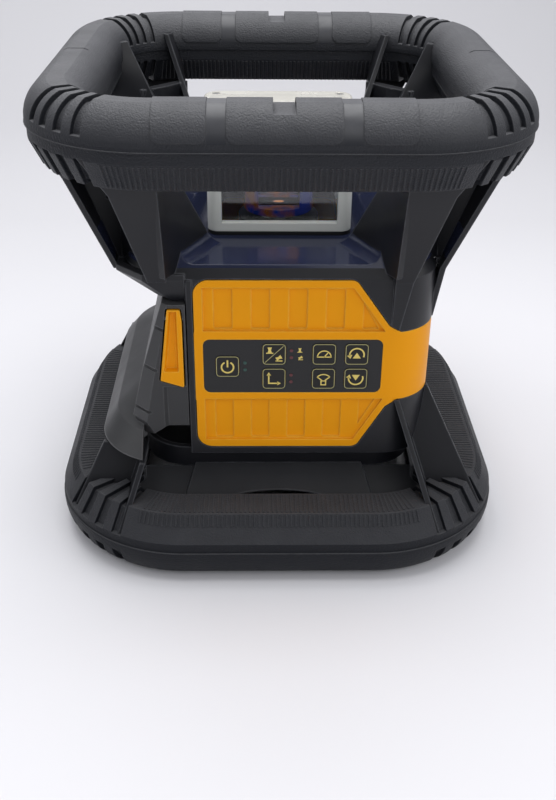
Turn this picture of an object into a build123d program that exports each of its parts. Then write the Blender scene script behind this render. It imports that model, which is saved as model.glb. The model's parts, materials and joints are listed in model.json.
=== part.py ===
from build123d import *
import os
from math import cos, radians, sin

# Rotary laser level in a roll cage. Millimetres, +Z up, front towards -Y.
# The origin is on the ground under the spin axis.

# Bumper rings
ring_reach = 24.0           # from the housing's skin to the middle of each bar
top_ring_base = 211.2       # height of the top bumper's underside
top_ring_height = 36.8
top_ring_width = 32.0
top_ring_corner = 47.0      # corner radius along the middle of the bar
top_grip_flat = 8.0         # flat along the crown of the grip
base_ring_height = 37.6
base_ring_width = 37.6
base_ring_corner = 54.0
base_grip_flat = 18.0       # flat that stands on the ground
ring_rise = 2.0             # upright side between parting line and grip curve
ring_step = 0.8             # set-back of the rib half at the parting line
ring_shoulder = 5.6         # height of the plain band beside the parting line
rib_half_flat = 18.0        # flat width at the end of the rib half
groove_count = 4
groove_depth = 2.4
groove_arc = 5.0            # degrees round the corner
groove_pitch = 9.8          # degrees
groove_end = 5.0            # plain height left beside the parting line
pad_proud = 0.5             # raised pads on the front and back bars
pad_edge = 4.4              # their lower edge above the parting line
pad_corner = 4.0
pad_spans = ((-56.0, -33.0), (-24.5, 24.5), (33.0, 56.0))
notch_width = 9.6           # sight notch in the crown
notch_sunk = 3.2
slit_length = 17.0          # slit across the crown of the side bars
slit_width = 1.2
slit_sunk = 1.2
core_width = 14.0           # hard core that each bumper is moulded on
core_height = 14.0

# Housing in plan and in height
shell_half = 80.0           # half width of the outer skins
shell_corner = 25.0
skin = 2.8                  # thickness of the panel, band and skirts
lap_gap = 0.2
housing_wall = 2.5
bay_wall_x = -46.2          # battery bay side of the bay wall
bay_wall = 2.3
floor_low = 42.0
floor_thickness = 3.0
setback = 6.0               # of the base tray, from the skin
lip_low = 54.0
ledge = 57.0                # where the yellow housing sits in the lower cage
band_low = 86.8
band_high = 126.5
seam = 155.0
deck_top = 162.0
deck_thickness = 4.0
deck_lean = 3.0             # set-back of the deck's edge from the skin
seam_flare = 3.5            # widening of the upper cage up to the seam
pillar_slope = 0.3725       # outward lean of the pillars
deck_window = 32.0          # half width of the hole under the lantern
roof_low = 142.4            # underside of the roof over the battery
roof_low_out = 62.0
roof_low_inset = 3.0
roof_high_out = 82.0
roof_high_flare = 1.0
roof_low_cut = 8.0          # cut-back of its outer corners
roof_high_cut = 14.0

# Front panel
panel_left = -43.4
panel_right = 37.3
panel_low = 58.3
panel_low_right = 41.0
panel_high = 155.0
panel_waist = 57.5          # where the panel runs into the band
panel_corner = 8.0
panel_bend = 5.0            # radius of its right corners
waist_cut = 3.5             # cut across the corner between panel and band
panel_gap = 0.4
rib_pitch = 18.85
rib_gap = 9.4               # width of each sunk field between ribs
rib_depth = 0.9
rib_first = -28.9
tray_left = -39.0           # shallow tray that each row of ribs stands in
tray_depth = 0.8
tray_margin = 4.0           # from the slanting edge of the panel
rib_count = 4
corner_field = 8.0          # width of the three-cornered field beside the ribs
corner_field_rise = 0.6
upper_rib_low = 127.0
upper_rib_high = 150.8
lower_rib_low = 62.6
lower_rib_high = 87.6

# Keypad
keypad_x = 6.6
keypad_z = 107.0
keypad_width = 91.5
keypad_height = 30.7
keypad_corner = 3.5
keypad_sunk = 1.6
overlay_thickness = 1.4
key_size = 11.8
key_corner = 2.2
key_gap = 0.25
key_thickness = 1.2
key_proud = 0.2
key_travel = 0.4
plunger_radius = 2.5
plunger_gap = 0.25
power_key_x = -26.9
mode_key_x = -3.0
speed_key_x = 22.6
turn_key_x = 39.3
key_row_pitch = 14.2
light_radius = 0.9
ready_light_x = -17.9
mode_light_x = 5.8
light_pitch = 4.0
board_thickness = 1.6
keypad_board_gap = 3.0      # from the housing wall to the keypad board
main_board_gap = 6.0
main_board_y = 90.0
main_board_z = 58.0
main_board_mid = 92.0
main_post_radius = 3.0
dome_radius = 3.0

# Pillars and gussets
wall = 3.0
lip_inner = 56.0            # inner edge of a pillar's front plate
lip_seam = 65.0             # outer edge at the seam
lip_knee = 78.0             # outer edge at the knee
knee = 205.0
lip_top = 90.0              # outer edge inside the bumper
lip_foot = 60.0             # outer edge at the bottom of the skirt
fin_low_x = 34.4            # inner edge of a pillar's fin at the deck
fin_low_y = 46.1
fin_high_x = 64.0           # inner edge where it runs out on the bumper
fin_high_y = 85.3
fin_high = 239.0
scoop_radius = 7.0          # fillet between a fin and the deck
web_reach = 65.0            # the web crosses the diagonal here
web_fold = 1.2
shelf_height = 188.0
shelf_reach = 9.0
gusset_slope = 0.5
gusset_top_edge = 63.0
gusset_low_edge = 85.5
apron_high = 41.0
apron_thickness = 4.0
apron_lap = 1.0
apron_drop = 21.0
apron_high_half = 45.0      # half width along its upper edge
apron_low_half = 55.0
wing_drop = 3.5             # the wings beside an apron lie this much lower
wing_end = 82.0
arch_half = 47.0
arch_high = 34.0
arch_spring = 27.0

# Lantern
seal_height = 2.0
lantern_half = 37.5
lantern_wall = 4.5
lantern_corner = 6.0
lantern_high = 213.0
lantern_sill = 4.5
lantern_head = 3.0
glass_half = 31.0
glass_lap = 2.0
lantern_screw = 1.2
lantern_screw_length = 8.0
lantern_screw_head = 2.2
lantern_screw_sunk = 2.0
pane_half = 30.0
glass_thickness = 1.6
roof_half = 41.0
roof_corner = 9.0
roof_thickness = 4.5
roof_edge = 1.5

# Gimbal and optics
pivot_z = 128.0
upright_in = 36.8
upright_thickness = 3.6
upright_width = 18.0
upright_high = 136.0
stand_ring_in = 36.5
stand_ring_out = 43.0
stand_thickness = 4.0
gimbal_out = 35.0
gimbal_in = 29.0
gimbal_height = 10.0
pivot_radius = 2.5
pin_start = 29.4
barrel_pin_start = 15.0
running_gap = 0.05
barrel_radius = 13.0
barrel_bore = 7.0
barrel_low = 73.0
barrel_boss_half = 25.0
barrel_boss = 12.0
tail_block = 14.0
tail_block_low = 57.0
flange_low = 143.0
flange_thickness = 4.0
flange_radius = 27.0
motor_x = 20.0
motor_radius = 6.5
motor_length = 15.0
motor_shaft = 1.0
motor_hole_gap = 0.5
pulley_low = 149.5
pulley_width = 4.0
motor_pulley_radius = 5.0
rotor_pulley_radius = 12.0
belt_thickness = 1.2
belt_gap = 0.3
belt_edge = 0.4
bridge_low = 156.0
bridge_thickness = 5.0
bridge_radius = 22.0
leg_radius = 2.5
leg_circle = 19.0
leg_start = 70.0
bearing_outer = 11.0
hub_radius = 6.0
beam_bore = 3.0
head_low = 165.0
head_radius = 19.0
head_base = 4.0
head_high = 205.0
head_cap = 4.0
prism_half = 11.0
prism_lean = 0.6
cheek_thickness = 3.0
head_chamfer = 1.5
laser_low = 82.0
laser_length = 30.0
lens_low = 116.0
lens_thickness = 4.0
lens_curve = 14.0
vial_radius = 2.8
vial_length = 18.0
vial_offset = 19.0
actuator_radius = 8.0
actuator_length = 20.0
rear_bracket_high = 82.0
plunger_rod = 2.5
slide_x_z = 62.0
slide_y_z = 68.0
fork_gap = 0.6
fork_wall = 3.0
fork_length = 28.0
fork_height = 4.0

# Battery
pack_in = -47.6
pack_high = 142.0
pack_low = 71.2
pack_gap = 0.4              # above the shelf
pack_proud = 1.0            # of the battery's ends, from the skin
pack_top_out = -59.5
pack_mid_out = -71.0
pack_mid = 103.0
pack_knee = 74.0
pack_keel = 63.0
pack_floor_x = -60.0
pack_wall = 2.4
strip_high = 3.0            # slanted strip down each outer corner, by height
strip_mid = 6.5
strip_low = 8.0
notch_heights = (80.0, 105.0, 128.0)
notch_height = 1.6
notch_depth = 1.4
tail_inset = 8.0            # the skirt covers only the battery side
tail_low = 58.0
tail_flare = 16.5
tail_corner = 40.0
tail_shoulder_flare = 9.0
tail_shoulder = 69.0
tail_top_inset = 2.0
tail_top = 76.0
tail_wall = 3.5
tail_gap = 1.0
shelf_out = 13.8
shelf_half = 60.0
shelf_thickness = 4.6
column_proud = 0.8
lid_thickness = 2.2
cell_radius = 8.9
cell_length = 65.0
cell_space = 1.0
cell_rows = (83.2, 101.6)
cell_x = -58.9
cell_mid = 4.0              # cells sit towards the back, clear of the latch
latch_right = -49.4
latch_top_right = -50.2
latch_top_left = -56.6
latch_left = -61.4
latch_low = 95.5
latch_rise = 4.0
latch_shoulder = 133.0
latch_high = 139.4
latch_corner = 0.7
latch_plate = 4.6
latch_proud = 0.6
latch_gap = 0.8
latch_room = 14.5
latch_rim = 0.9
latch_side_rim = 2.4
latch_ledge = 9.0
latch_sunk = 3.0
hollow_left = -60.4         # hollow in the battery's front, under the latch
hollow_slope = 2.0
hollow_sunk = 1.6
latch_pin_inset = 7.0       # behind the battery's front
latch_pin_z = 132.0
latch_pin_radius = 1.5
latch_pin_left = -60.5
latch_pin_length = 12.2
latch_ears = (-56.0, -51.6)
latch_ear = 1.4
spring_x = -54.0
spring_pitch = 0.7
spring_turns = 2.75
spring_radius = 2.2
spring_wire = 0.25
spring_leg = 6.0
contact_thickness = 0.8
contact_height = 8.0
contact_reach = 7.0
contact_pitch = 12.0
contact_count = 3
contact_slot = 2.0
contact_base = 1.0
contact_z = 122.0

# Underside
cover_radius = 42.0
cover_thickness = 3.5
cover_hole = 36.0
cover_screw_circle = 39.0
boss_radius = 34.0
boss_low = 4.0
boss_wall = 4.0
boss_floor = 6.0
insert_radius = 14.0
insert_flange = 18.0
insert_flange_thickness = 3.0
insert_length = 20.0
thread_radius = 6.8         # tapping size of a 5/8 inch tripod thread
thread_chamfer = 1.2
boss_rib_count = 6
bolt_radius = 2.0
bolt_head = 3.8
bolt_head_height = 2.5
bolt_inset = 18.0           # from the skin
bolt_left = -36.0
bolt_boss = 4.5
bolt_boss_length = 12.0
bolt_top = 157.0
screw_radius = 1.5
screw_head = 2.8
screw_head_height = 1.8
screw_top = 48.0
screw_count = 4

os.makedirs("parts", exist_ok=True)

# Sizes that follow from the skin of the housing
ring_centre = shell_half + ring_reach
setback_half = shell_half - setback
seam_half = shell_half + seam_flare
apron_in = setback_half - apron_lap
pack_front = shell_half + pack_proud
tail_x = tail_inset - shell_half
tail_half = shell_half + tail_flare
tail_shoulder_half = shell_half + tail_shoulder_flare
tail_top_half = shell_half - tail_top_inset
pack_low_out = -tail_top_half
pack_keel_x = tail_x
latch_front = pack_front + latch_proud
latch_pin_y = latch_pin_inset - pack_front
bolt_right = shell_half - bolt_inset
bolt_y = shell_half - bolt_inset
bolt_places = [(x, y) for x in (bolt_left, bolt_right) for y in (-bolt_y, bolt_y)]


def save(builder, name):
    """Name a finished piece and write it."""
    builder.part.label = name
    export_step(builder.part, f"parts/{name}.step")


def front_plane(y):
    """Upright plane across the front: local x is X, local y is Z, outwards is -Y."""
    return Plane(origin=(0, y, 0), x_dir=(1, 0, 0), z_dir=(0, -1, 0))


def side_plane(x):
    """Upright plane seen from the right: local x is Y, local y is Z, outwards is +X."""
    return Plane(origin=(x, 0, 0), x_dir=(0, 1, 0), z_dir=(1, 0, 0))


def rounded_square(half, corner):
    """Rounded square in plan, about the spin axis."""
    RectangleRounded(2 * half, 2 * half, corner)


def housing_plan(half, left):
    """Plan of the housing: a rounded square cut off at the battery bay."""
    rounded_square(half, shell_corner + half - shell_half)
    with Locations((left - shell_half, 0)):
        Rectangle(2 * shell_half, 4 * shell_half, mode=Mode.SUBTRACT)


def flared_block(levels, mode=Mode.ADD):
    """Rounded squares of (height, half width, corner) joined by straight-sided walls."""
    sections = []
    for height, half, corner in levels:
        with BuildSketch(Plane.XY.offset(height)) as outline:
            rounded_square(half, corner)
        sections.append(outline.sketch)
    for pair in zip(sections, sections[1:]):
        loft(pair, ruled=True, mode=mode)


def standing_plate(levels, mode=Mode.ADD):
    """Plate with straight sides through plan outlines given as (height, corners)."""
    sections = []
    for height, corners in levels:
        with BuildSketch(Plane.XY.offset(height)) as outline:
            Polygon(*corners, align=None)
        sections.append(outline.sketch)
    for pair in zip(sections, sections[1:]):
        loft(pair, ruled=True, mode=mode)


def panel_slant(height):
    """Right edge of the panel at a height above or below the band."""
    if height > band_high:
        return panel_waist + (panel_right - panel_waist) * (height - band_high) / (panel_high - band_high)
    return panel_waist + (panel_low_right - panel_waist) * (band_low - height) / (band_low - panel_low)


def panel_outline(grow):
    """Outline of the yellow front panel, seen from the front."""
    Polygon(
        (panel_left, panel_low),
        (panel_low_right, panel_low),
        (panel_slant(band_low - waist_cut), band_low - waist_cut),
        (panel_waist + waist_cut, band_low),
        (panel_waist + waist_cut, band_high),
        (panel_slant(band_high + waist_cut), band_high + waist_cut),
        (panel_right, panel_high),
        (panel_left, panel_high),
        align=None,
    )
    fillet(vertices().group_by(Axis.X)[0], radius=panel_corner)
    for end in (0, -1):
        fillet(vertices().group_by(Axis.Y)[end].sort_by(Axis.X)[-1], radius=panel_bend)
    if grow:
        offset(amount=grow)


# Bumper rings: section, corner planes and grooves

def bumper_section(width, height, grip_flat, way):
    """Section of a bar about its parting line. The grip half is on top where way is 1."""
    half = width / 2
    reach = way * height / 2
    inset = half - ring_step
    with BuildLine() as outline:
        Line((half, 0), (half, way * ring_rise))
        TangentArc((half, way * ring_rise), (grip_flat / 2, reach), tangent=(0, way))
        Line((grip_flat / 2, reach), (-grip_flat / 2, reach))
        TangentArc((-half, way * ring_rise), (-grip_flat / 2, reach), tangent=(0, way))
        Polyline((-half, way * ring_rise), (-half, 0), (-inset, 0))
        Polyline((-inset, 0), (-inset, -way * ring_shoulder), (-rib_half_flat / 2, -reach))
        Line((-rib_half_flat / 2, -reach), (rib_half_flat / 2, -reach))
        Polyline((rib_half_flat / 2, -reach), (inset, -way * ring_shoulder), (inset, 0))
        Line((inset, 0), (half, 0))
    make_face(outline.edges())


def corner_plane(corner, angle, height):
    """Upright plane across a bar, at an angle round the front right corner."""
    middle = ring_centre - corner
    outwards = Vector(cos(radians(angle)), sin(radians(angle)), 0)
    foot = Vector(middle, -middle, height) + outwards * corner
    return Plane(origin=foot, x_dir=outwards, z_dir=outwards.cross(Vector(0, 0, 1)))


def bumper_ring(corner, height, section, way):
    """Grooved bumper ring: one quarter, mirrored twice."""
    middle = ring_centre - corner
    axis = Axis((middle, -middle, 0), (0, 0, 1))
    width, tall, flat = section
    with BuildSketch(mode=Mode.PRIVATE) as bar:
        bumper_section(width, tall, flat, way)
    for angle, run in ((-90, middle), (0, -middle)):
        with BuildSketch(corner_plane(corner, angle, height)) as end:
            add(bar.sketch)
        extrude(end.sketch, amount=run)
    with BuildSketch(corner_plane(corner, -90, height)) as end:
        add(bar.sketch)
    revolve(end.sketch, axis=axis, revolution_arc=90)
    # Each groove runs right over its half of the bar
    with BuildSketch(mode=Mode.PRIVATE) as inner_bar:
        add(bar.sketch)
        offset(amount=-groove_depth, kind=Kind.INTERSECTION)
    first = -45 - groove_pitch * (groove_count - 1) / 2 - groove_arc / 2
    for half in (1, -1):
        for index in range(groove_count):
            with BuildSketch(corner_plane(corner, first + index * groove_pitch, height)) as groove:
                add(bar.sketch)
                add(inner_bar.sketch, mode=Mode.SUBTRACT)
                with Locations((0, half * (groove_end - tall))):
                    Rectangle(2 * width, 2 * tall, mode=Mode.SUBTRACT)
            revolve(groove.sketch, axis=axis, revolution_arc=groove_arc, mode=Mode.SUBTRACT)
    mirror(about=Plane.YZ)
    mirror(about=Plane.XZ)


def ring_core(low, corner):
    """Hard core inside a bumper, as part of a cage."""
    with BuildSketch(Plane.XY.offset(low)) as core:
        rounded_square(ring_centre + core_width / 2, corner + core_width / 2)
        RectangleRounded(
            2 * ring_centre - core_width,
            2 * ring_centre - core_width,
            corner - core_width / 2,
            mode=Mode.SUBTRACT,
        )
    extrude(core.sketch, amount=core_height)


def grip_pads(height, section):
    """Raised pads on the grip half of the front bar, with rounded lower corners."""
    width, tall, flat = section
    with BuildSketch(mode=Mode.PRIVATE) as bar:
        bumper_section(width, tall, flat, 1)
        offset(amount=pad_proud)
        with Locations((0, ring_rise / 2 - tall)):
            Rectangle(2 * width, 2 * tall, mode=Mode.SUBTRACT)
    pads_end = max(right for left, right in pad_spans) + pad_corner
    end = Plane(origin=(pads_end, -ring_centre, height), x_dir=(0, -1, 0), z_dir=(-1, 0, 0))
    with BuildSketch(end) as pad:
        add(bar.sketch)
    extrude(pad.sketch, amount=2 * pads_end)
    with BuildSketch(front_plane(-ring_centre - width)) as window:
        for left, right in pad_spans:
            with Locations(((left + right) / 2, height + pad_edge + tall / 2)):
                RectangleRounded(right - left, tall, pad_corner)
    extrude(window.sketch, amount=-2 * width, mode=Mode.INTERSECT)


# Upper cage: deck, skirt, four pillars and the core of the top bumper

top_ring_mid = top_ring_base + top_ring_height / 2
top_core_low = top_ring_mid - core_height / 2
deck_low = deck_top - deck_thickness
deck_half = seam_half + pillar_slope * (deck_top - seam)
deck_edge = shell_half - deck_lean
fin_share = (deck_edge - fin_low_y) / (deck_half - fin_low_y)
knee_half = seam_half + pillar_slope * (knee - seam)
plate_high = top_core_low + wall
web_high = top_ring_base + wall
plate_half = seam_half + pillar_slope * (plate_high - seam)
diagonal = Plane(origin=(0, 0, 0), z_dir=(1, 1, 0))


def front_plate(inner, edge, half):
    """Plan of a plate across the front, between two edges, at a half width."""
    return [(inner, -half), (edge, -half), (edge, wall - half), (inner, wall - half)]


def fin(root_y, tip_x, tip_y):
    """Plan of a pillar's fin, from the plate's inner edge to the fin's inner edge."""
    root = Vector(lip_inner, -root_y)
    tip = Vector(tip_x, -tip_y)
    along = (tip - root).normalized()
    across = Vector(along.Y, -along.X) * wall
    return [(point.X, point.Y) for point in (root, tip, tip + across, root + across)]


def fin_tip(height):
    """Inner edge of a fin at a height."""
    share = (height - deck_top) / (fin_high - deck_top)
    return (fin_low_x + share * (fin_high_x - fin_low_x), fin_low_y + share * (fin_high_y - fin_low_y))


def inner_side(edge):
    """True for the deck edge on the inner face of a fin, and not for the one on its outer face."""
    middle = edge.center()
    near = min(abs(middle.X), abs(middle.Y))
    return near < fin_low_x + fin_share * (lip_inner - fin_low_x) / 2 + wall / 3


def bay_roof(inset, reach, half, cut):
    """Plan of the roof over the battery, cut back at its outer corners."""
    right = bay_wall_x - column_proud - lap_gap - inset
    left = inset - reach
    side = half - inset
    return [(right, -side), (left + cut, -side), (left, cut - side),
            (left, side - cut), (left + cut, side), (right, side)]


with BuildPart() as pillar:
    standing_plate([
        (band_high, front_plate(lip_inner, lip_foot, shell_half)),
        (seam, front_plate(lip_inner, lip_seam, seam_half)),
        (knee, front_plate(lip_inner, lip_knee, knee_half)),
        (plate_high, front_plate(lip_inner, lip_top, plate_half)),
    ])
    standing_plate([
        (deck_low, fin(deck_half, *fin_tip(deck_low))),
        (knee, fin(knee_half, *fin_tip(knee))),
        (fin_high, fin(ring_centre - core_width / 4, *fin_tip(fin_high))),
    ])
    mirror(about=diagonal)
    web_side = 2 * web_reach - lip_inner + wall
    with BuildSketch(Plane.XY.offset(deck_low)):
        Polygon(
            (lip_inner - wall, -web_side),
            (web_reach - web_fold, -web_reach + web_fold),
            (web_side, wall - lip_inner),
            (web_side + wall, -lip_inner),
            (lip_inner, -web_side - wall),
            align=None,
        )
    extrude(amount=web_high - deck_low)
    with BuildSketch(Plane.XY.offset(shelf_height)):
        Polygon(
            (lip_inner - wall, -web_side),
            (web_side, wall - lip_inner),
            (web_side + shelf_reach, -lip_inner),
            (lip_inner, -web_side - shelf_reach),
            align=None,
        )
    extrude(amount=wall)

with BuildPart() as upper_cage:
    add(pillar.part)
    mirror(about=Plane.YZ)
    mirror(about=Plane.XZ)
    ring_core(top_core_low, top_ring_corner)
    flared_block([
        (band_high, shell_half, shell_corner),
        (seam, shell_half, shell_corner),
        (deck_top, deck_edge, shell_corner),
    ])
    inner_half = shell_half - skin
    flared_block([
        (band_high - wall, inner_half, shell_corner - skin),
        (seam, inner_half, shell_corner - skin),
        (deck_low, deck_edge - wall, shell_corner - skin),
    ], mode=Mode.SUBTRACT)
    # Scoops where the fins run into the deck
    fin_run = fin_share * ((lip_inner - fin_low_x) ** 2 + (deck_half - fin_low_y) ** 2) ** 0.5
    scoops = edges().filter_by_position(Axis.Z, deck_top, deck_top)
    scoops = scoops.filter_by(lambda edge: abs(edge.length - fin_run) < fin_run / 12)
    fillet(scoops.filter_by(inner_side), radius=scoop_radius)
    # The battery side has no skirt below the seam, only a roof over the battery
    with Locations((panel_left - panel_gap, 0, seam)):
        Box(2 * shell_half, 4 * shell_half, seam - band_high + wall,
            align=(Align.MAX, Align.CENTER, Align.MAX), mode=Mode.SUBTRACT)
    standing_plate([
        (roof_low, bay_roof(0, roof_low_out, shell_half - roof_low_inset, roof_low_cut)),
        (seam, bay_roof(0, roof_high_out, shell_half + roof_high_flare, roof_high_cut)),
        (deck_low, bay_roof(0, roof_high_out, shell_half + roof_high_flare, roof_high_cut)),
    ])
    standing_plate([
        (roof_low + wall, bay_roof(wall, roof_low_out, shell_half - roof_low_inset, roof_low_cut)),
        (deck_low, bay_roof(wall, roof_high_out, shell_half + roof_high_flare, roof_high_cut)),
    ], mode=Mode.SUBTRACT)
    with BuildSketch(front_plane(-shell_half / 2)):
        panel_outline(panel_gap)
    extrude(amount=shell_half, mode=Mode.SUBTRACT)
    with BuildSketch(Plane.XY.offset(deck_top)):
        rounded_square(deck_window, lantern_corner)
    extrude(amount=-2 * deck_thickness, mode=Mode.SUBTRACT)
    # Bosses for the long bolts from below
    with BuildSketch(Plane.XY.offset(deck_low)):
        with Locations(*bolt_places):
            Circle(bolt_boss)
    extrude(amount=-bolt_boss_length)
    with BuildSketch(Plane.XY.offset(bolt_top)):
        with Locations(*bolt_places):
            Circle(bolt_radius)
    extrude(amount=-bolt_top / 2, mode=Mode.SUBTRACT)
save(upper_cage, "upper_cage")

top_section = (top_ring_width, top_ring_height, top_grip_flat)
with BuildPart() as front_pads:
    grip_pads(top_ring_mid, top_section)
    mirror(about=Plane.XZ)

with BuildPart() as top_bumper:
    bumper_ring(top_ring_corner, top_ring_mid, top_section, 1)
    add(front_pads.part)
    # Sight notches on the front and back bars, a slit across each side bar
    top_ring_high = top_ring_base + top_ring_height
    with Locations((0, 0, top_ring_high)):
        with GridLocations(1, 2 * ring_centre, 1, 2):
            Box(notch_width, 2 * top_ring_width, 2 * notch_sunk, mode=Mode.SUBTRACT)
        with GridLocations(2 * ring_centre, 1, 2, 1):
            Box(slit_length, slit_width, 2 * slit_sunk, mode=Mode.SUBTRACT)
    add(upper_cage.part, mode=Mode.SUBTRACT)
save(top_bumper, "top_bumper")

# Yellow housing with the front panel and the band

housing_half = shell_half - skin - lap_gap
housing_left = bay_wall_x + bay_wall + lap_gap
housing_high = seam - lap_gap
inside_half = housing_half - housing_wall
key_rows = (keypad_z + key_row_pitch / 2, keypad_z - key_row_pitch / 2)
key_places = {
    "power_key": (power_key_x, keypad_z),
    "plane_key": (mode_key_x, key_rows[0]),
    "slope_key": (mode_key_x, key_rows[1]),
    "speed_key": (speed_key_x, key_rows[0]),
    "scan_key": (speed_key_x, key_rows[1]),
    "turn_up_key": (turn_key_x, key_rows[0]),
    "turn_down_key": (turn_key_x, key_rows[1]),
}
light_places = [(ready_light_x, keypad_z + side * light_pitch / 2) for side in (1, -1)]
light_places += [(mode_light_x, row + side * light_pitch / 2) for row in key_rows for side in (1, -1)]
board_front = -inside_half + keypad_board_gap
board_posts_x = keypad_width / 2 - keypad_corner
board_posts_z = keypad_height - 2 * keypad_corner
main_board_x = inside_half - main_board_gap

with BuildPart() as mid_housing:
    with BuildSketch(Plane.XY.offset(ledge)):
        housing_plan(housing_half, housing_left)
    extrude(amount=housing_high - ledge)
    with BuildSketch(Plane.XY.offset(band_low + lap_gap)):
        housing_plan(shell_half, housing_left)
    extrude(amount=band_high - band_low - 2 * lap_gap)
    with BuildSketch(front_plane(-housing_half)):
        panel_outline(0)
    extrude(amount=shell_half - housing_half)
    with BuildSketch(Plane.XY.offset(ledge)):
        rounded_square(shell_half, shell_corner)
    extrude(amount=housing_high - ledge, mode=Mode.INTERSECT)
    with BuildSketch(Plane.XY.offset(ledge)):
        housing_plan(inside_half, housing_left + housing_wall)
    extrude(amount=housing_high, mode=Mode.SUBTRACT)
    # A tray for each row of ribs, and the deeper fields between the ribs
    tray_floor = front_plane(tray_depth - shell_half)
    field_left = rib_first + rib_pitch * rib_count - rib_gap / 2
    for low, high, wide in ((upper_rib_low, upper_rib_high, upper_rib_low),
                            (lower_rib_low, lower_rib_high, lower_rib_high)):
        narrow = low + high - wide
        edge = tray_depth + lap_gap
        with BuildSketch(front_plane(-shell_half)) as tray:
            corners = [(tray_left, narrow), (panel_slant(narrow) - tray_margin, narrow),
                       (panel_slant(wide) - tray_margin, wide), (tray_left, wide)]
            Polygon(*corners, align=None)
        extrude(tray.sketch, amount=-tray_depth, taper=50, mode=Mode.SUBTRACT)
        with BuildSketch(tray_floor) as fields:
            with Locations((rib_first + rib_pitch * (rib_count - 1) / 2, (low + high) / 2)):
                with GridLocations(rib_pitch, 1, rib_count, 1):
                    RectangleRounded(rib_gap, high - low - 2 * edge, rib_depth)
        extrude(fields.sketch, amount=-rib_depth, taper=25, mode=Mode.SUBTRACT)
        start = wide + (edge if wide == low else -edge)
        with BuildSketch(tray_floor) as field:
            Polygon((field_left, start), (field_left + corner_field, start),
                    (field_left, start + (narrow - wide) * corner_field_rise), align=None)
        extrude(field.sketch, amount=-rib_depth, mode=Mode.SUBTRACT)
    # Keypad pocket, plunger holes and light holes
    with BuildSketch(front_plane(-shell_half)):
        with Locations((keypad_x, keypad_z)):
            RectangleRounded(keypad_width + lap_gap, keypad_height + lap_gap, keypad_corner)
    extrude(amount=-keypad_sunk, mode=Mode.SUBTRACT)
    with BuildSketch(front_plane(-shell_half)):
        with Locations(*key_places.values()):
            Circle(plunger_radius + plunger_gap)
        with Locations(*light_places):
            Circle(light_radius + running_gap)
    extrude(amount=-2 * (shell_half - inside_half), mode=Mode.SUBTRACT)
    # Posts for the two circuit boards
    with BuildSketch(front_plane(board_front)):
        with Locations((keypad_x, keypad_z)):
            with GridLocations(2 * board_posts_x, board_posts_z, 2, 2):
                Circle(keypad_corner)
    extrude(amount=keypad_board_gap)
    with BuildSketch(side_plane(main_board_x + board_thickness)):
        with Locations((0, main_board_mid)):
            with GridLocations(main_board_y - 4 * main_post_radius, main_board_z - 4 * main_post_radius, 2, 2):
                Circle(main_post_radius)
    extrude(amount=inside_half - main_board_x - board_thickness)
save(mid_housing, "mid_housing")

# Keypad: overlay, keys, lights and board

overlay_back = -shell_half + keypad_sunk
with BuildPart() as keypad_overlay:
    with BuildSketch(front_plane(overlay_back)):
        with Locations((keypad_x, keypad_z)):
            RectangleRounded(keypad_width, keypad_height, keypad_corner)
        with Locations(*key_places.values()):
            RectangleRounded(key_size + 2 * key_gap, key_size + 2 * key_gap, key_corner + key_gap,
                             mode=Mode.SUBTRACT)
        with Locations(*light_places):
            Circle(light_radius + running_gap, mode=Mode.SUBTRACT)
    extrude(amount=overlay_thickness)
save(keypad_overlay, "keypad_overlay")

dome_height = keypad_board_gap - key_travel - 2 * key_gap
key_front = -shell_half - key_proud
for name, place in key_places.items():
    with BuildPart() as key:
        with BuildSketch(front_plane(key_front + key_thickness)):
            with Locations(place):
                RectangleRounded(key_size, key_size, key_corner)
        extrude(amount=key_thickness)
        with BuildSketch(front_plane(key_front + key_thickness)):
            with Locations(place):
                Circle(plunger_radius)
        extrude(amount=-(board_front - dome_height - key_travel - plunger_gap - key_front - key_thickness))
    save(key, name)

with BuildPart() as status_lights:
    with BuildSketch(front_plane(board_front)):
        with Locations(*light_places):
            Circle(light_radius)
    extrude(amount=shell_half + board_front)
save(status_lights, "status_lights")

with BuildPart() as keypad_board:
    with BuildSketch(front_plane(board_front + board_thickness)):
        with Locations((keypad_x, keypad_z)):
            Rectangle(keypad_width, keypad_height - keypad_corner)
    extrude(amount=board_thickness)
    with BuildSketch(front_plane(board_front)):
        with Locations(*key_places.values()):
            Circle(dome_radius)
    extrude(amount=dome_height)
save(keypad_board, "keypad_board")

with BuildPart() as main_board:
    with BuildSketch(side_plane(main_board_x)):
        with Locations((0, main_board_mid)):
            Rectangle(main_board_y, main_board_z)
    extrude(amount=board_thickness)
    with BuildSketch(side_plane(main_board_x)):
        with Locations((0, main_board_mid)):
            with GridLocations(main_board_y / 3, main_board_z / 2, 3, 2):
                Rectangle(main_board_y / 6, main_board_z / 5)
    extrude(amount=-2 * board_thickness)
save(main_board, "main_board")

# Foot frame: gussets, corner ribs, aprons and the core of the base bumper

base_ring_mid = base_ring_height / 2
base_core_low = base_ring_mid - core_height / 2
core_in = ring_centre - core_width / 2
gusset_low = base_core_low + core_height - wall
gusset_foot = shell_half + gusset_slope * (band_low - gusset_low)


def gusset_fin(edge, half):
    """Plan of one leg of a gusset, from the bar back to the corner that both legs share."""
    inner = edge - wall
    return [(inner, -half), (edge, -half), (edge, -inner), (inner, -inner)]


with BuildPart() as gusset:
    standing_plate([
        (gusset_low, gusset_fin(gusset_low_edge, gusset_foot)),
        (band_low, gusset_fin(gusset_top_edge, shell_half)),
    ])
    mirror(about=diagonal)

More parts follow.
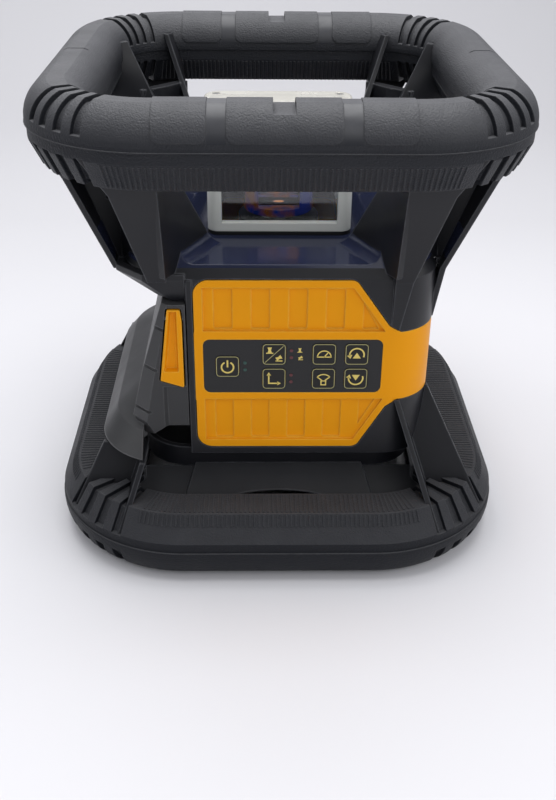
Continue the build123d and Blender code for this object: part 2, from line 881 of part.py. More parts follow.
def apron_side(drop):
    """Side view of a sloping plate between the tray and the base bumper's core."""
    lap = core_in + wall / 4
    corners = [(-apron_in, apron_high), (-lap, apron_drop),
               (-lap, apron_drop + apron_thickness), (-apron_in, apron_high + apron_thickness)]
    Polygon(*[(across, height - drop) for across, height in corners], align=None)


with BuildPart() as apron:
    with BuildSketch(side_plane(0)):
        apron_side(0)
    extrude(amount=apron_low_half, both=True)
    with BuildSketch(front_plane(-apron_in + wall)):
        Polygon(
            (-apron_low_half, apron_drop),
            (apron_low_half, apron_drop),
            (apron_high_half, apron_high + apron_thickness),
            (-apron_high_half, apron_high + apron_thickness),
            align=None,
        )
    extrude(amount=core_in - apron_in + 2 * wall, mode=Mode.INTERSECT)
    with BuildSketch(front_plane(-apron_in + wall)):
        with BuildLine():
            Line((-arch_half, 0), (-arch_half, arch_spring))
            ThreePointArc((-arch_half, arch_spring), (0, arch_high), (arch_half, arch_spring))
            Polyline((arch_half, arch_spring), (arch_half, 0), (-arch_half, 0))
        make_face()
    extrude(amount=core_in - apron_in + wall, mode=Mode.SUBTRACT)

with BuildPart() as wings:
    with BuildSketch(side_plane(apron_high_half - wall)):
        apron_side(wing_drop)
    extrude(amount=wing_end - apron_high_half + wall)
    mirror(about=Plane.YZ)


def clear_battery_side():
    """Nothing stands on the battery side above the battery's skirt."""
    with Locations((bay_wall_x, 0, tail_low - tail_gap)):
        Box(2 * ring_centre, 4 * ring_centre, band_low,
            align=(Align.MAX, Align.CENTER, Align.MIN), mode=Mode.SUBTRACT)


with BuildPart() as lower_block:
    with BuildSketch(Plane.XY.offset(floor_low)):
        rounded_square(setback_half, shell_corner)
    extrude(amount=lip_low - floor_low)
    clear_battery_side()
    with BuildSketch(Plane.XY.offset(lip_low)):
        housing_plan(shell_half, bay_wall_x)
    extrude(amount=band_low - lip_low)

with BuildPart() as foot_frame:
    add(gusset.part)
    mirror(about=Plane.YZ)
    mirror(about=Plane.XZ)
    with PolarLocations(0, 4):
        add(apron.part)
        add(wings.part)
    ring_core(base_core_low, base_ring_corner)
    clear_battery_side()
    add(lower_block.part, mode=Mode.SUBTRACT)
save(foot_frame, "foot_frame")

# Lower cage: tray, skirt and bay wall

with BuildPart() as lower_cage:
    add(lower_block.part)
    with BuildSketch(Plane.XY.offset(ledge)):
        housing_plan(shell_half - skin, bay_wall_x)
    extrude(amount=band_low, mode=Mode.SUBTRACT)
    with BuildSketch(Plane.XY.offset(floor_low + floor_thickness)):
        rounded_square(setback_half - wall, shell_corner - wall)
    extrude(amount=ledge - floor_low, mode=Mode.SUBTRACT)
    with BuildSketch(front_plane(wall - shell_half + lap_gap)):
        panel_outline(panel_gap)
    extrude(amount=2 * skin, mode=Mode.SUBTRACT)
    # Bay wall with its two front columns and the shelf under the battery
    with Locations((bay_wall_x, 0, floor_low)):
        Box(bay_wall, 2 * setback_half, seam - lap_gap - floor_low,
            align=(Align.MIN, Align.CENTER, Align.MIN))
    column_depth = shell_half - setback_half + wall
    with Locations((bay_wall_x - column_proud, 0, lip_low)):
        with GridLocations(1, 2 * shell_half - column_depth, 1, 2):
            Box(bay_wall + column_proud, column_depth, seam - lap_gap - lip_low,
                align=(Align.MIN, Align.CENTER, Align.MIN))
    with Locations((bay_wall_x, 0, pack_low - pack_gap)):
        Box(shelf_out, 2 * shelf_half, shelf_thickness, align=(Align.MAX, Align.CENTER, Align.MAX))
    # Holes for the bottom cover, its screws and the long bolts
    with Locations((0, 0, floor_low)):
        Cylinder(cover_hole, 4 * floor_thickness, mode=Mode.SUBTRACT)
        with PolarLocations(cover_screw_circle, screw_count, start_angle=45):
            Cylinder(screw_radius + running_gap, 4 * floor_thickness, mode=Mode.SUBTRACT)
    with Locations(*[(x, y, floor_low) for x, y in bolt_places]):
        Cylinder(bolt_radius + running_gap, 4 * floor_thickness, mode=Mode.SUBTRACT)
save(lower_cage, "lower_cage")

with BuildPart() as base_bumper:
    bumper_ring(base_ring_corner, base_ring_mid, (base_ring_width, base_ring_height, base_grip_flat), -1)
    add(foot_frame.part, mode=Mode.SUBTRACT)
save(base_bumper, "base_bumper")

with BuildPart() as bolts:
    with Locations(*[(x, y, floor_low) for x, y in bolt_places]):
        Cylinder(bolt_head, bolt_head_height, align=(Align.CENTER, Align.CENTER, Align.MAX))
        Cylinder(bolt_radius, bolt_top - floor_low, align=(Align.CENTER, Align.CENTER, Align.MIN))
    with BuildSketch(Plane.XY.offset(floor_low - bolt_head_height)):
        with Locations(*bolt_places):
            RegularPolygon(bolt_radius, 6)
    extrude(amount=bolt_head_height / 2, mode=Mode.SUBTRACT)
save(bolts, "cage_bolts")

# Underside: cover with the tripod socket

cover_low = floor_low - cover_thickness
with BuildPart() as bottom_cover:
    with BuildSketch(Plane.XZ):
        with BuildLine():
            Polyline(
                (0, boss_low),
                (boss_radius, boss_low),
                (boss_radius, cover_low),
                (cover_radius, cover_low),
                (cover_radius, floor_low),
                (boss_radius - boss_wall, floor_low),
                (boss_radius - boss_wall, boss_low + boss_floor),
                (0, boss_low + boss_floor),
                close=True,
            )
        make_face()
    revolve(axis=Axis.Z)
    with Locations((0, 0, boss_low)):
        Cylinder(insert_radius + boss_wall, insert_length, align=(Align.CENTER, Align.CENTER, Align.MIN))
    with BuildSketch(Plane.XY.offset(boss_low + boss_floor)):
        with PolarLocations((insert_radius + boss_radius) / 2, boss_rib_count):
            Rectangle(boss_radius - insert_radius, wall)
    extrude(amount=insert_length - boss_floor)
    with Locations((0, 0, boss_low)):
        Cylinder(insert_flange, insert_flange_thickness, align=(Align.CENTER, Align.CENTER, Align.MIN),
                 mode=Mode.SUBTRACT)
        Cylinder(insert_radius, 2 * insert_length, mode=Mode.SUBTRACT)
    with Locations((0, 0, floor_low)):
        with PolarLocations(cover_screw_circle, screw_count, start_angle=45):
            Cylinder(screw_radius + running_gap, 4 * cover_thickness, mode=Mode.SUBTRACT)
save(bottom_cover, "bottom_cover")

with BuildPart() as tripod_insert:
    with Locations((0, 0, boss_low)):
        Cylinder(insert_flange, insert_flange_thickness, align=(Align.CENTER, Align.CENTER, Align.MIN))
        Cylinder(insert_radius, insert_length, align=(Align.CENTER, Align.CENTER, Align.MIN))
        Cylinder(thread_radius, 4 * insert_length, mode=Mode.SUBTRACT)
    chamfer(edges().filter_by(GeomType.CIRCLE).group_by(Axis.Z)[0].sort_by(SortBy.RADIUS)[0], thread_chamfer)
save(tripod_insert, "tripod_insert")

with BuildPart() as cover_screws:
    with Locations((0, 0, cover_low)):
        with PolarLocations(cover_screw_circle, screw_count, start_angle=45):
            Cylinder(screw_head, screw_head_height, align=(Align.CENTER, Align.CENTER, Align.MAX))
            Cylinder(screw_radius, screw_top - cover_low, align=(Align.CENTER, Align.CENTER, Align.MIN))
save(cover_screws, "cover_screws")

# Gimbal: stand, ring and pivot pins

stand_low = floor_low + floor_thickness
upright_out = upright_in + upright_thickness
with BuildPart() as gimbal_stand:
    with BuildSketch(Plane.XY.offset(stand_low)):
        Circle(stand_ring_out)
        Circle(stand_ring_in, mode=Mode.SUBTRACT)
    extrude(amount=stand_thickness)
    with BuildSketch(side_plane(-upright_out)):
        with Locations((0, stand_low)):
            Rectangle(upright_width, upright_high - stand_low, align=(Align.CENTER, Align.MIN))
        fillet(vertices().group_by(Axis.Y)[-1], radius=upright_width / 3)
    extrude(amount=2 * upright_out)
    with BuildSketch(side_plane(-upright_in)):
        with Locations((0, stand_low + stand_thickness)):
            Rectangle(2 * upright_width, upright_high, align=(Align.CENTER, Align.MIN))
    extrude(amount=2 * upright_in, mode=Mode.SUBTRACT)
    with BuildSketch(Plane.XY.offset(stand_low)):
        Circle(stand_ring_in)
    extrude(amount=stand_thickness, mode=Mode.SUBTRACT)
    # Rear bracket for the cross-tilt actuator
    with BuildSketch(front_plane(upright_out)):
        with Locations((0, stand_low)):
            Rectangle(upright_width, rear_bracket_high - stand_low, align=(Align.CENTER, Align.MIN))
        fillet(vertices().group_by(Axis.Y)[-1], radius=upright_width / 3)
    extrude(amount=upright_thickness)
    with BuildSketch(side_plane(-2 * upright_out)):
        with Locations((0, pivot_z)):
            Circle(pivot_radius)
    extrude(amount=4 * upright_out, mode=Mode.SUBTRACT)
    with BuildSketch(side_plane(upright_in / 2)):
        with Locations((0, slide_x_z)):
            Circle(plunger_rod + running_gap)
    extrude(amount=upright_out, mode=Mode.SUBTRACT)
    with BuildSketch(front_plane(2 * upright_out)):
        with Locations((0, slide_y_z)):
            Circle(plunger_rod + running_gap)
    extrude(amount=3 * upright_in / 2, mode=Mode.SUBTRACT)
    with Locations((0, 0, stand_low)):
        with PolarLocations(cover_screw_circle, screw_count, start_angle=45):
            Cylinder(screw_radius, 2 * (screw_top - stand_low), mode=Mode.SUBTRACT)
save(gimbal_stand, "gimbal_stand")

with BuildPart() as gimbal_ring:
    with BuildSketch(Plane.XY.offset(pivot_z - gimbal_height / 2)):
        Circle(gimbal_out)
        Circle(gimbal_in, mode=Mode.SUBTRACT)
    extrude(amount=gimbal_height)
    with BuildSketch(side_plane(-2 * gimbal_out)):
        with Locations((0, pivot_z)):
            Circle(pivot_radius + running_gap)
    extrude(amount=4 * gimbal_out, mode=Mode.SUBTRACT)
    with BuildSketch(front_plane(2 * gimbal_out)):
        with Locations((0, pivot_z)):
            Circle(pivot_radius)
    extrude(amount=4 * gimbal_out, mode=Mode.SUBTRACT)
save(gimbal_ring, "gimbal_ring")

with BuildPart() as ring_pins:
    with BuildSketch(side_plane(pin_start)):
        with Locations((0, pivot_z)):
            Circle(pivot_radius)
    extrude(amount=upright_out - pin_start)
    mirror(about=Plane.YZ)
save(ring_pins, "ring_pins")

with BuildPart() as barrel_pins:
    with BuildSketch(front_plane(-barrel_pin_start)):
        with Locations((0, pivot_z)):
            Circle(pivot_radius)
    extrude(amount=gimbal_in + pivot_radius - barrel_pin_start)
    mirror(about=Plane.XZ)
save(barrel_pins, "barrel_pins")

# Optics: barrel, laser, lens and vials

flange_high = flange_low + flange_thickness
with BuildPart() as optics_barrel:
    with Locations((0, 0, barrel_low)):
        Cylinder(barrel_radius, flange_high - barrel_low, align=(Align.CENTER, Align.CENTER, Align.MIN))
    with Locations((0, 0, flange_low)):
        Cylinder(flange_radius, flange_thickness, align=(Align.CENTER, Align.CENTER, Align.MIN))
    with Locations((0, 0, barrel_low)):
        Box(tail_block, tail_block, barrel_low - tail_block_low, align=(Align.CENTER, Align.CENTER, Align.MAX))
    with BuildSketch(front_plane(barrel_boss_half)):
        with Locations((0, pivot_z)):
            Circle(barrel_boss / 2)
    extrude(amount=2 * barrel_boss_half)
    with Locations((0, 0, laser_low)):
        Cylinder(barrel_bore, flange_high, align=(Align.CENTER, Align.CENTER, Align.MIN), mode=Mode.SUBTRACT)
    with BuildSketch(front_plane(2 * barrel_boss_half)):
        with Locations((0, pivot_z)):
            Circle(pivot_radius + running_gap)
    extrude(amount=4 * barrel_boss_half, mode=Mode.SUBTRACT)
    with Locations((motor_x, 0, flange_low)):
        Cylinder(motor_shaft + motor_hole_gap, 4 * flange_thickness, mode=Mode.SUBTRACT)
save(optics_barrel, "optics_barrel")

with BuildPart() as laser_module:
    with Locations((0, 0, laser_low)):
        Cylinder(barrel_bore, laser_length, align=(Align.CENTER, Align.CENTER, Align.MIN))
    with Locations((0, 0, laser_low + laser_length)):
        Cylinder(beam_bore, laser_length / 4, mode=Mode.SUBTRACT)
save(laser_module, "laser_module")

with BuildPart() as collimator_lens:
    with Locations((0, 0, lens_low)):
        Cylinder(barrel_bore, lens_thickness, align=(Align.CENTER, Align.CENTER, Align.MIN))
    with Locations((0, 0, lens_low + lens_thickness - lens_curve)):
        Sphere(lens_curve, mode=Mode.INTERSECT)
save(collimator_lens, "collimator_lens")

vial_z = flange_low - vial_radius
with BuildPart() as level_vials:
    with BuildSketch(side_plane(-vial_length / 2)):
        with Locations((-vial_offset, vial_z)):
            Circle(vial_radius)
    extrude(amount=vial_length)
    with BuildSketch(front_plane(vial_length / 2)):
        with Locations((-vial_offset, vial_z)):
            Circle(vial_radius)
    extrude(amount=vial_length)
save(level_vials, "level_vials")

# Spin drive: motor, pulleys and belt

with BuildPart() as spin_motor:
    with Locations((motor_x, 0, flange_low)):
        Cylinder(motor_radius, motor_length, align=(Align.CENTER, Align.CENTER, Align.MAX))
        Cylinder(motor_shaft, pulley_low + pulley_width - flange_low, align=(Align.CENTER, Align.CENTER, Align.MIN))
save(spin_motor, "spin_motor")

with BuildPart() as motor_pulley:
    with BuildSketch(Plane.XY.offset(pulley_low)):
        with Locations((motor_x, 0)):
            Circle(motor_pulley_radius)
            Circle(motor_shaft + running_gap, mode=Mode.SUBTRACT)
    extrude(amount=pulley_width)
save(motor_pulley, "motor_pulley")

shaft_radius = hub_radius - running_gap
with BuildPart() as rotor_pulley:
    with BuildSketch(Plane.XY.offset(pulley_low)):
        Circle(rotor_pulley_radius)
        Circle(shaft_radius, mode=Mode.SUBTRACT)
    extrude(amount=pulley_width)
save(rotor_pulley, "rotor_pulley")

with BuildPart() as drive_belt:
    with BuildSketch(Plane.XY.offset(pulley_low + belt_edge)):
        with BuildSketch(mode=Mode.PRIVATE) as pulleys:
            Circle(rotor_pulley_radius + belt_gap)
            with Locations((motor_x, 0)):
                Circle(motor_pulley_radius + belt_gap)
            make_hull()
        add(pulleys.sketch)
        offset(amount=belt_thickness)
        add(pulleys.sketch, mode=Mode.SUBTRACT)
    extrude(amount=pulley_width - 2 * belt_edge)
save(drive_belt, "drive_belt")

with BuildPart() as rotor_bridge:
    with BuildSketch(Plane.XY.offset(bridge_low)):
        Circle(bridge_radius)
        Circle(bearing_outer, mode=Mode.SUBTRACT)
    extrude(amount=bridge_thickness)
    with BuildSketch(Plane.XY.offset(flange_high)):
        with PolarLocations(leg_circle, 3, start_angle=leg_start):
            Circle(leg_radius)
    extrude(amount=bridge_low - flange_high)
save(rotor_bridge, "rotor_bridge")

with BuildPart() as rotor_bearing:
    with BuildSketch(Plane.XY.offset(bridge_low)):
        Circle(bearing_outer)
        Circle(hub_radius, mode=Mode.SUBTRACT)
    extrude(amount=bridge_thickness)
save(rotor_bearing, "rotor_bearing")

# Spinning head with its prism

prism_low = head_low + head_base
prism_high = head_high - head_cap
with BuildPart() as rotor_head:
    with Locations((0, 0, pulley_low - belt_gap)):
        Cylinder(shaft_radius, prism_low - pulley_low, align=(Align.CENTER, Align.CENTER, Align.MIN))
    with Locations((0, 0, head_low)):
        Cylinder(head_radius, head_high - head_low, align=(Align.CENTER, Align.CENTER, Align.MIN))
    with Locations((0, 0, prism_low)):
        Box(2 * prism_half, 4 * head_radius, prism_high - prism_low,
            align=(Align.CENTER, Align.CENTER, Align.MIN), mode=Mode.SUBTRACT)
    with BuildSketch(side_plane(-2 * head_radius)):
        with Locations((0, (prism_low + prism_high) / 2)):
            RectangleRounded(head_radius, (prism_high - prism_low) / 2, cheek_thickness)
    extrude(amount=4 * head_radius, mode=Mode.SUBTRACT)
    with Locations((0, 0, pulley_low)):
        Cylinder(beam_bore, 4 * (prism_low - pulley_low), mode=Mode.SUBTRACT)
    chamfer(edges().filter_by(GeomType.CIRCLE).group_by(Axis.Z)[-1], head_chamfer)
save(rotor_head, "rotor_head")

with BuildPart() as pentaprism:
    with BuildSketch(side_plane(-prism_half)):
        prism_size = 2 * prism_half
        Polygon(
            (prism_half, prism_low),
            (prism_half, prism_low + prism_size * prism_lean),
            (prism_half * prism_lean, prism_low + prism_size),
            (-prism_half, prism_low + prism_size),
            (-prism_half, prism_low),
            align=None,
        )
    extrude(amount=2 * prism_half)
save(pentaprism, "pentaprism")

# Levelling actuators and their forks

with BuildPart() as level_actuators:
    with BuildSketch(side_plane(upright_out)):
        with Locations((0, slide_x_z)):
            Circle(actuator_radius)
            Circle(plunger_rod + plunger_gap, mode=Mode.SUBTRACT)
    extrude(amount=actuator_length)
    with BuildSketch(front_plane(upright_out)):
        with Locations((0, slide_y_z)):
            Circle(actuator_radius)
            Circle(plunger_rod + plunger_gap, mode=Mode.SUBTRACT)
    extrude(amount=-actuator_length)
save(level_actuators, "level_actuators")

fork_out = tail_block / 2 + fork_gap + fork_wall
rod_end = upright_out + actuator_length / 2


def fork_frame(height, turn):
    """Frame round the barrel's tail: close on two sides, long on the other two."""
    with BuildSketch(Plane.XY.offset(height - fork_height / 2)) as frame:
        with Locations(Rotation(0, 0, turn)):
            Rectangle(2 * fork_out, fork_length + 2 * fork_wall)
            Rectangle(tail_block + 2 * fork_gap, fork_length, mode=Mode.SUBTRACT)
    extrude(frame.sketch, amount=fork_height)


with BuildPart() as tilt_plunger_x:
    fork_frame(slide_x_z, 0)
    with BuildSketch(side_plane(fork_out - fork_wall / 2)):
        with Locations((0, slide_x_z)):
            Circle(plunger_rod)
    extrude(amount=rod_end - fork_out)
save(tilt_plunger_x, "tilt_plunger_x")

with BuildPart() as tilt_plunger_y:
    fork_frame(slide_y_z, 90)
    with BuildSketch(front_plane(fork_out - fork_wall / 2)):
        with Locations((0, slide_y_z)):
            Circle(plunger_rod)
    extrude(amount=fork_out - rod_end)
save(tilt_plunger_y, "tilt_plunger_y")

# Lantern over the spinning head

with BuildPart() as window_seal:
    with BuildSketch(Plane.XY.offset(deck_top)):
        rounded_square(lantern_half, lantern_corner)
        RectangleRounded(2 * deck_window, 2 * deck_window, lantern_corner / 2, mode=Mode.SUBTRACT)
    extrude(amount=seal_height)
save(window_seal, "window_seal")

lantern_low = deck_top + seal_height
lantern_in = lantern_half - lantern_wall
pane_mid = (lantern_low + lantern_sill + lantern_high - lantern_head) / 2
pane_height = lantern_high - lantern_head - lantern_low - lantern_sill
screw_corner = lantern_half - lantern_corner / 2 - lap_gap
with BuildPart() as lantern_frame:
    with BuildSketch(Plane.XY.offset(lantern_low)):
        rounded_square(lantern_half, lantern_corner)
        RectangleRounded(2 * lantern_in, 2 * lantern_in, lantern_corner - lantern_wall, mode=Mode.SUBTRACT)
    extrude(amount=lantern_high - lantern_low)
    with Locations((0, 0, pane_mid)):
        Box(2 * pane_half, 4 * lantern_half, pane_height, mode=Mode.SUBTRACT)
        Box(4 * lantern_half, 2 * pane_half, pane_height, mode=Mode.SUBTRACT)
    with BuildSketch(Plane.XY.offset(lantern_high)):
        with GridLocations(2 * screw_corner, 2 * screw_corner, 2, 2):
            Circle(lantern_screw)
    extrude(amount=-lantern_screw_length, mode=Mode.SUBTRACT)
save(lantern_frame, "lantern_frame")

with BuildPart() as lantern_glass:
    with Locations((0, 0, pane_mid)):
        with PolarLocations(lantern_in - glass_thickness / 2, 4):
            Box(glass_thickness, 2 * glass_half, pane_height + 2 * glass_lap)
save(lantern_glass, "lantern_glass")

with BuildPart() as lantern_roof:
    with BuildSketch(Plane.XY.offset(lantern_high)):
        rounded_square(roof_half, roof_corner)
    extrude(amount=roof_thickness)
    fillet(edges().group_by(Axis.Z)[-1], radius=roof_edge)
    roof_top = lantern_high + roof_thickness
    with BuildSketch(Plane.XY.offset(roof_top)):
        with GridLocations(2 * screw_corner, 2 * screw_corner, 2, 2):
            Circle(lantern_screw_head)
    extrude(amount=-lantern_screw_sunk, mode=Mode.SUBTRACT)
    with BuildSketch(Plane.XY.offset(roof_top)):
        with GridLocations(2 * screw_corner, 2 * screw_corner, 2, 2):
            Circle(lantern_screw)
    extrude(amount=-2 * roof_thickness, mode=Mode.SUBTRACT)
save(lantern_roof, "lantern_roof")

with BuildPart() as lantern_screws:
    with BuildSketch(Plane.XY.offset(roof_top - lantern_screw_sunk / 4)):
        with GridLocations(2 * screw_corner, 2 * screw_corner, 2, 2):
            Circle(lantern_screw_head)
            RegularPolygon(lantern_screw, 6, mode=Mode.SUBTRACT)
    extrude(amount=-3 * lantern_screw_sunk / 4)
    with BuildSketch(Plane.XY.offset(roof_top - lantern_screw_sunk)):
        with GridLocations(2 * screw_corner, 2 * screw_corner, 2, 2):
            Circle(lantern_screw_head)
    extrude(amount=lantern_screw_sunk / 4)
    with BuildSketch(Plane.XY.offset(roof_top - lantern_screw_sunk)):
        with GridLocations(2 * screw_corner, 2 * screw_corner, 2, 2):
            Circle(lantern_screw)
    extrude(amount=lantern_screw_sunk - roof_thickness - lantern_screw_length + lap_gap)
save(lantern_screws, "lantern_screws")

# Battery: case, lid, cells, contacts and latch


def pack_side(height):
    """Outer face of the battery at a height above its knee."""
    if height > pack_mid:
        share = (pack_high - height) / (pack_high - pack_mid)
        return pack_top_out + share * (pack_mid_out - pack_top_out)
    share = (pack_mid - height) / (pack_mid - pack_knee)
    return pack_mid_out + share * (pack_low_out - pack_mid_out)


def pack_profile():
    """Outline of the battery seen from the front."""
    Polygon(
        (pack_in, pack_high),
        (pack_top_out, pack_high),
        (pack_mid_out, pack_mid),
        (pack_low_out, pack_knee),
        (pack_keel_x, pack_keel),
        (pack_floor_x, pack_low),
        (pack_in, pack_low),
        align=None,
    )


def strip_corner(outer, width):
    """Plan of what a slanted strip takes off a front corner of the battery."""
    left = outer - width
    front = -pack_front - width
    return [(left, front), (outer + 2 * width, front), (left, -pack_front + 2 * width)]


def latch_outline(gap):
    """Outline of the battery latch seen from the front."""
    Polygon(
        (latch_top_left, latch_high),
        (latch_top_right, latch_high),
        (latch_right, latch_shoulder),
        (latch_right, latch_low),
        (latch_left, latch_low + latch_rise),
        align=None,
    )
    fillet(vertices(), radius=latch_corner)
    if gap:
        offset(amount=gap)


with BuildPart() as strip_cuts:
    standing_plate([
        (pack_keel, strip_corner(pack_keel_x, strip_low)),
        (pack_knee, strip_corner(pack_low_out, strip_low)),
        (pack_mid, strip_corner(pack_mid_out, strip_mid)),
        (pack_high, strip_corner(pack_top_out, strip_high)),
    ])
    for height in notch_heights:
        width = strip_high + (strip_low - strip_high) * (pack_high - height) / (pack_high - pack_knee)
        spot = (pack_side(height) + width / 2, -pack_front + width / 2, height)
        with Locations(Location(spot, (0, 0, 45))):
            Box(2 * notch_depth, 4 * strip_low, notch_height)
    mirror(about=Plane.XZ)

with BuildPart() as pack_skirt:
    flared_block([
        (tail_low, tail_half, tail_corner),
        (tail_shoulder, tail_shoulder_half, tail_corner),
        (tail_top, tail_top_half, tail_corner),
    ])
    flared_block([
        (tail_low, tail_half - tail_wall, tail_corner - tail_wall),
        (tail_shoulder, tail_shoulder_half - tail_wall, tail_corner - tail_wall),
        (tail_top - tail_wall, tail_top_half, tail_corner - tail_wall),
    ], mode=Mode.SUBTRACT)
    with Locations((tail_x, 0, tail_low)):
        Box(2 * ring_centre, 4 * ring_centre, 4 * tail_wall + tail_top,
            align=(Align.MIN, Align.CENTER, Align.CENTER), mode=Mode.SUBTRACT)

cell_room = cell_length + cell_space
lid_high = contact_z + contact_height
with BuildPart() as pack_case:
    with BuildSketch(front_plane(pack_front)):
        pack_profile()
    extrude(amount=2 * pack_front)
    add(strip_cuts.part, mode=Mode.SUBTRACT)
    add(pack_skirt.part)
    with BuildSketch(front_plane(cell_mid + cell_room)):
        pack_profile()
        offset(amount=-pack_wall, kind=Kind.INTERSECTION)
    extrude(amount=2 * cell_room, mode=Mode.SUBTRACT)
    with BuildSketch(side_plane(pack_in)):
        with Locations((cell_mid, pack_low + pack_wall)):
            Rectangle(2 * cell_room, lid_high - pack_low - pack_wall, align=(Align.CENTER, Align.MIN))
    extrude(amount=-2 * pack_wall, mode=Mode.SUBTRACT)
    with BuildSketch(front_plane(-pack_front)):
        latch_outline(latch_gap)
    extrude(amount=-latch_room, mode=Mode.SUBTRACT)
    with BuildSketch(Plane.XY.offset(latch_low)):
        Polygon(
            (hollow_left, -pack_front),
            (hollow_left + hollow_slope, hollow_sunk - pack_front),
            (bay_wall_x, hollow_sunk - pack_front),
            (bay_wall_x, -pack_front - pack_wall),
            (hollow_left, -pack_front - pack_wall),
            align=None,
        )
    extrude(amount=-latch_low / 2, mode=Mode.SUBTRACT)
    with BuildSketch(side_plane(latch_pin_left)):
        with Locations((latch_pin_y, latch_pin_z)):
            Circle(latch_pin_radius)
    extrude(amount=latch_pin_length, mode=Mode.SUBTRACT)
save(pack_case, "pack_case")

with BuildPart() as pack_lid:
    with BuildSketch(side_plane(pack_in)):
        with Locations((cell_mid, pack_low + pack_wall + lap_gap)):
            Rectangle(2 * (cell_room - lap_gap), lid_high - pack_low - pack_wall - 2 * lap_gap,
                      align=(Align.CENTER, Align.MIN))
        with Locations((cell_mid, contact_z)):
            with GridLocations(contact_pitch, 1, contact_count, 1):
                Rectangle(contact_slot, contact_height + 2 * contact_slot, mode=Mode.SUBTRACT)
    extrude(amount=-lid_thickness)
save(pack_lid, "pack_lid")

with BuildPart() as battery_cells:
    for start, run in ((cell_mid - cell_space / 2, cell_length), (cell_mid + cell_space / 2, -cell_length)):
        with BuildSketch(front_plane(start)):
            with Locations(*[(cell_x, row) for row in cell_rows]):
                Circle(cell_radius)
        extrude(amount=run)
save(battery_cells, "battery_cells")

clip_x = pack_in - lid_thickness
with BuildPart() as pack_contacts:
    with BuildSketch(Plane.XY.offset(contact_z - contact_height / 2)):
        with Locations((clip_x, cell_mid)):
            with GridLocations(1, contact_pitch, 1, contact_count):
                Rectangle(contact_reach + contact_slot, 2 * contact_slot, align=(Align.MAX, Align.CENTER))
                Rectangle(contact_reach, contact_slot, align=(Align.MAX, Align.CENTER), mode=Mode.SUBTRACT)
    extrude(amount=contact_height)
save(pack_contacts, "pack_contacts")

with BuildPart() as dock_contacts:
    with Locations((bay_wall_x, cell_mid, contact_z)):
        Box(contact_base, (contact_count + 1) * contact_pitch, 2 * contact_height,
            align=(Align.MAX, Align.CENTER, Align.CENTER))
        with GridLocations(1, contact_pitch, 1, contact_count):
            Box(contact_reach, contact_thickness, contact_height, align=(Align.MAX, Align.CENTER, Align.CENTER))
save(dock_contacts, "dock_contacts")

with BuildPart() as pack_latch:
    with BuildSketch(front_plane(latch_plate - latch_front)):
        latch_outline(0)
    extrude(amount=latch_plate)
    # Thumb pocket: a rim is left on the right and a ledge at the bottom
    with BuildSketch(front_plane(-latch_front)):
        Polygon(
            (latch_top_left + latch_rim, latch_high - latch_rim),
            (latch_right - latch_side_rim, latch_high - latch_rim),
            (latch_right - latch_side_rim, latch_low + latch_ledge),
            (latch_left + 2 * latch_rim, latch_low + latch_ledge),
            align=None,
        )
    extrude(amount=-latch_sunk, taper=20, mode=Mode.SUBTRACT)
    for ear in latch_ears:
        with BuildSketch(side_plane(ear)):
            with Locations((latch_pin_y, latch_pin_z)):
                Circle(2 * latch_pin_radius)
            with Locations((latch_plate - latch_front, latch_pin_z)):
                Rectangle(latch_pin_radius, 6 * latch_pin_radius)
            make_hull()
        extrude(amount=latch_ear)
    with BuildSketch(side_plane(latch_pin_left)):
        with Locations((latch_pin_y, latch_pin_z)):
            Circle(latch_pin_radius + running_gap)
    extrude(amount=latch_pin_length, mode=Mode.SUBTRACT)
save(pack_latch, "pack_latch")

with BuildPart() as latch_pin:
    with BuildSketch(side_plane(latch_pin_left)):
        with Locations((latch_pin_y, latch_pin_z)):
            Circle(latch_pin_radius)
    extrude(amount=latch_pin_length)
save(latch_pin, "latch_pin")

with BuildPart() as latch_spring:
    with BuildLine() as wire:
        coil = Helix(spring_pitch, spring_pitch * spring_turns, spring_radius,
                     center=(spring_x, latch_pin_y, latch_pin_z), direction=(1, 0, 0))
        Line(coil @ 1, coil @ 1 + (coil % 1) * spring_leg)
    with BuildSketch(Plane(origin=coil @ 0, z_dir=coil % 0)):
        Circle(spring_wire)
    sweep(path=wire.line, is_frenet=True)
save(latch_spring, "latch_spring")
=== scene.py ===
# %% [markdown]
# Rotary laser level: the looks
#
# The construction comes in as a fixed frame: every piece at its real size and place, in metres, with
# +Z up, the keypad towards -Y and the battery on the -X side. This lesson gives each piece its finish
# and adds what is too fine for the construction: the ribs and the parting line of the rubber, small
# roots behind the pillar plates, and the symbols printed on the keys.

# %% Load the frame
import bmesh
import bpy
import json
from math import atan2, cos, hypot, pi, radians, sin
from mathutils import Matrix, Vector


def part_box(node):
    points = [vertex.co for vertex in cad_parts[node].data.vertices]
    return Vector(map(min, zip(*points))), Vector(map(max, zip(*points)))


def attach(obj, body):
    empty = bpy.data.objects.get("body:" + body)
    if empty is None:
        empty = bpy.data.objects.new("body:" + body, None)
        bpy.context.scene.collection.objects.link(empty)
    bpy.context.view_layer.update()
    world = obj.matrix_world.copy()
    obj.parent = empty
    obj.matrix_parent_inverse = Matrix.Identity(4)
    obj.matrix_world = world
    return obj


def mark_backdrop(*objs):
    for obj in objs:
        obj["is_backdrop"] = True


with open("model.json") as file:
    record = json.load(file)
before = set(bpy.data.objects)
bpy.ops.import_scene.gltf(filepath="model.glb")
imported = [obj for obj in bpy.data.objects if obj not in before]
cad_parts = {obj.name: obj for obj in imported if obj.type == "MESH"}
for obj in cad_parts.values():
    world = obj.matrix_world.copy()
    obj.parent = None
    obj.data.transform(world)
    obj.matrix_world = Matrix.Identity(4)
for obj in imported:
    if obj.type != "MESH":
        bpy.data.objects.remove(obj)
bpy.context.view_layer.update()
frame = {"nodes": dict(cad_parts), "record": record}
mm = 0.001

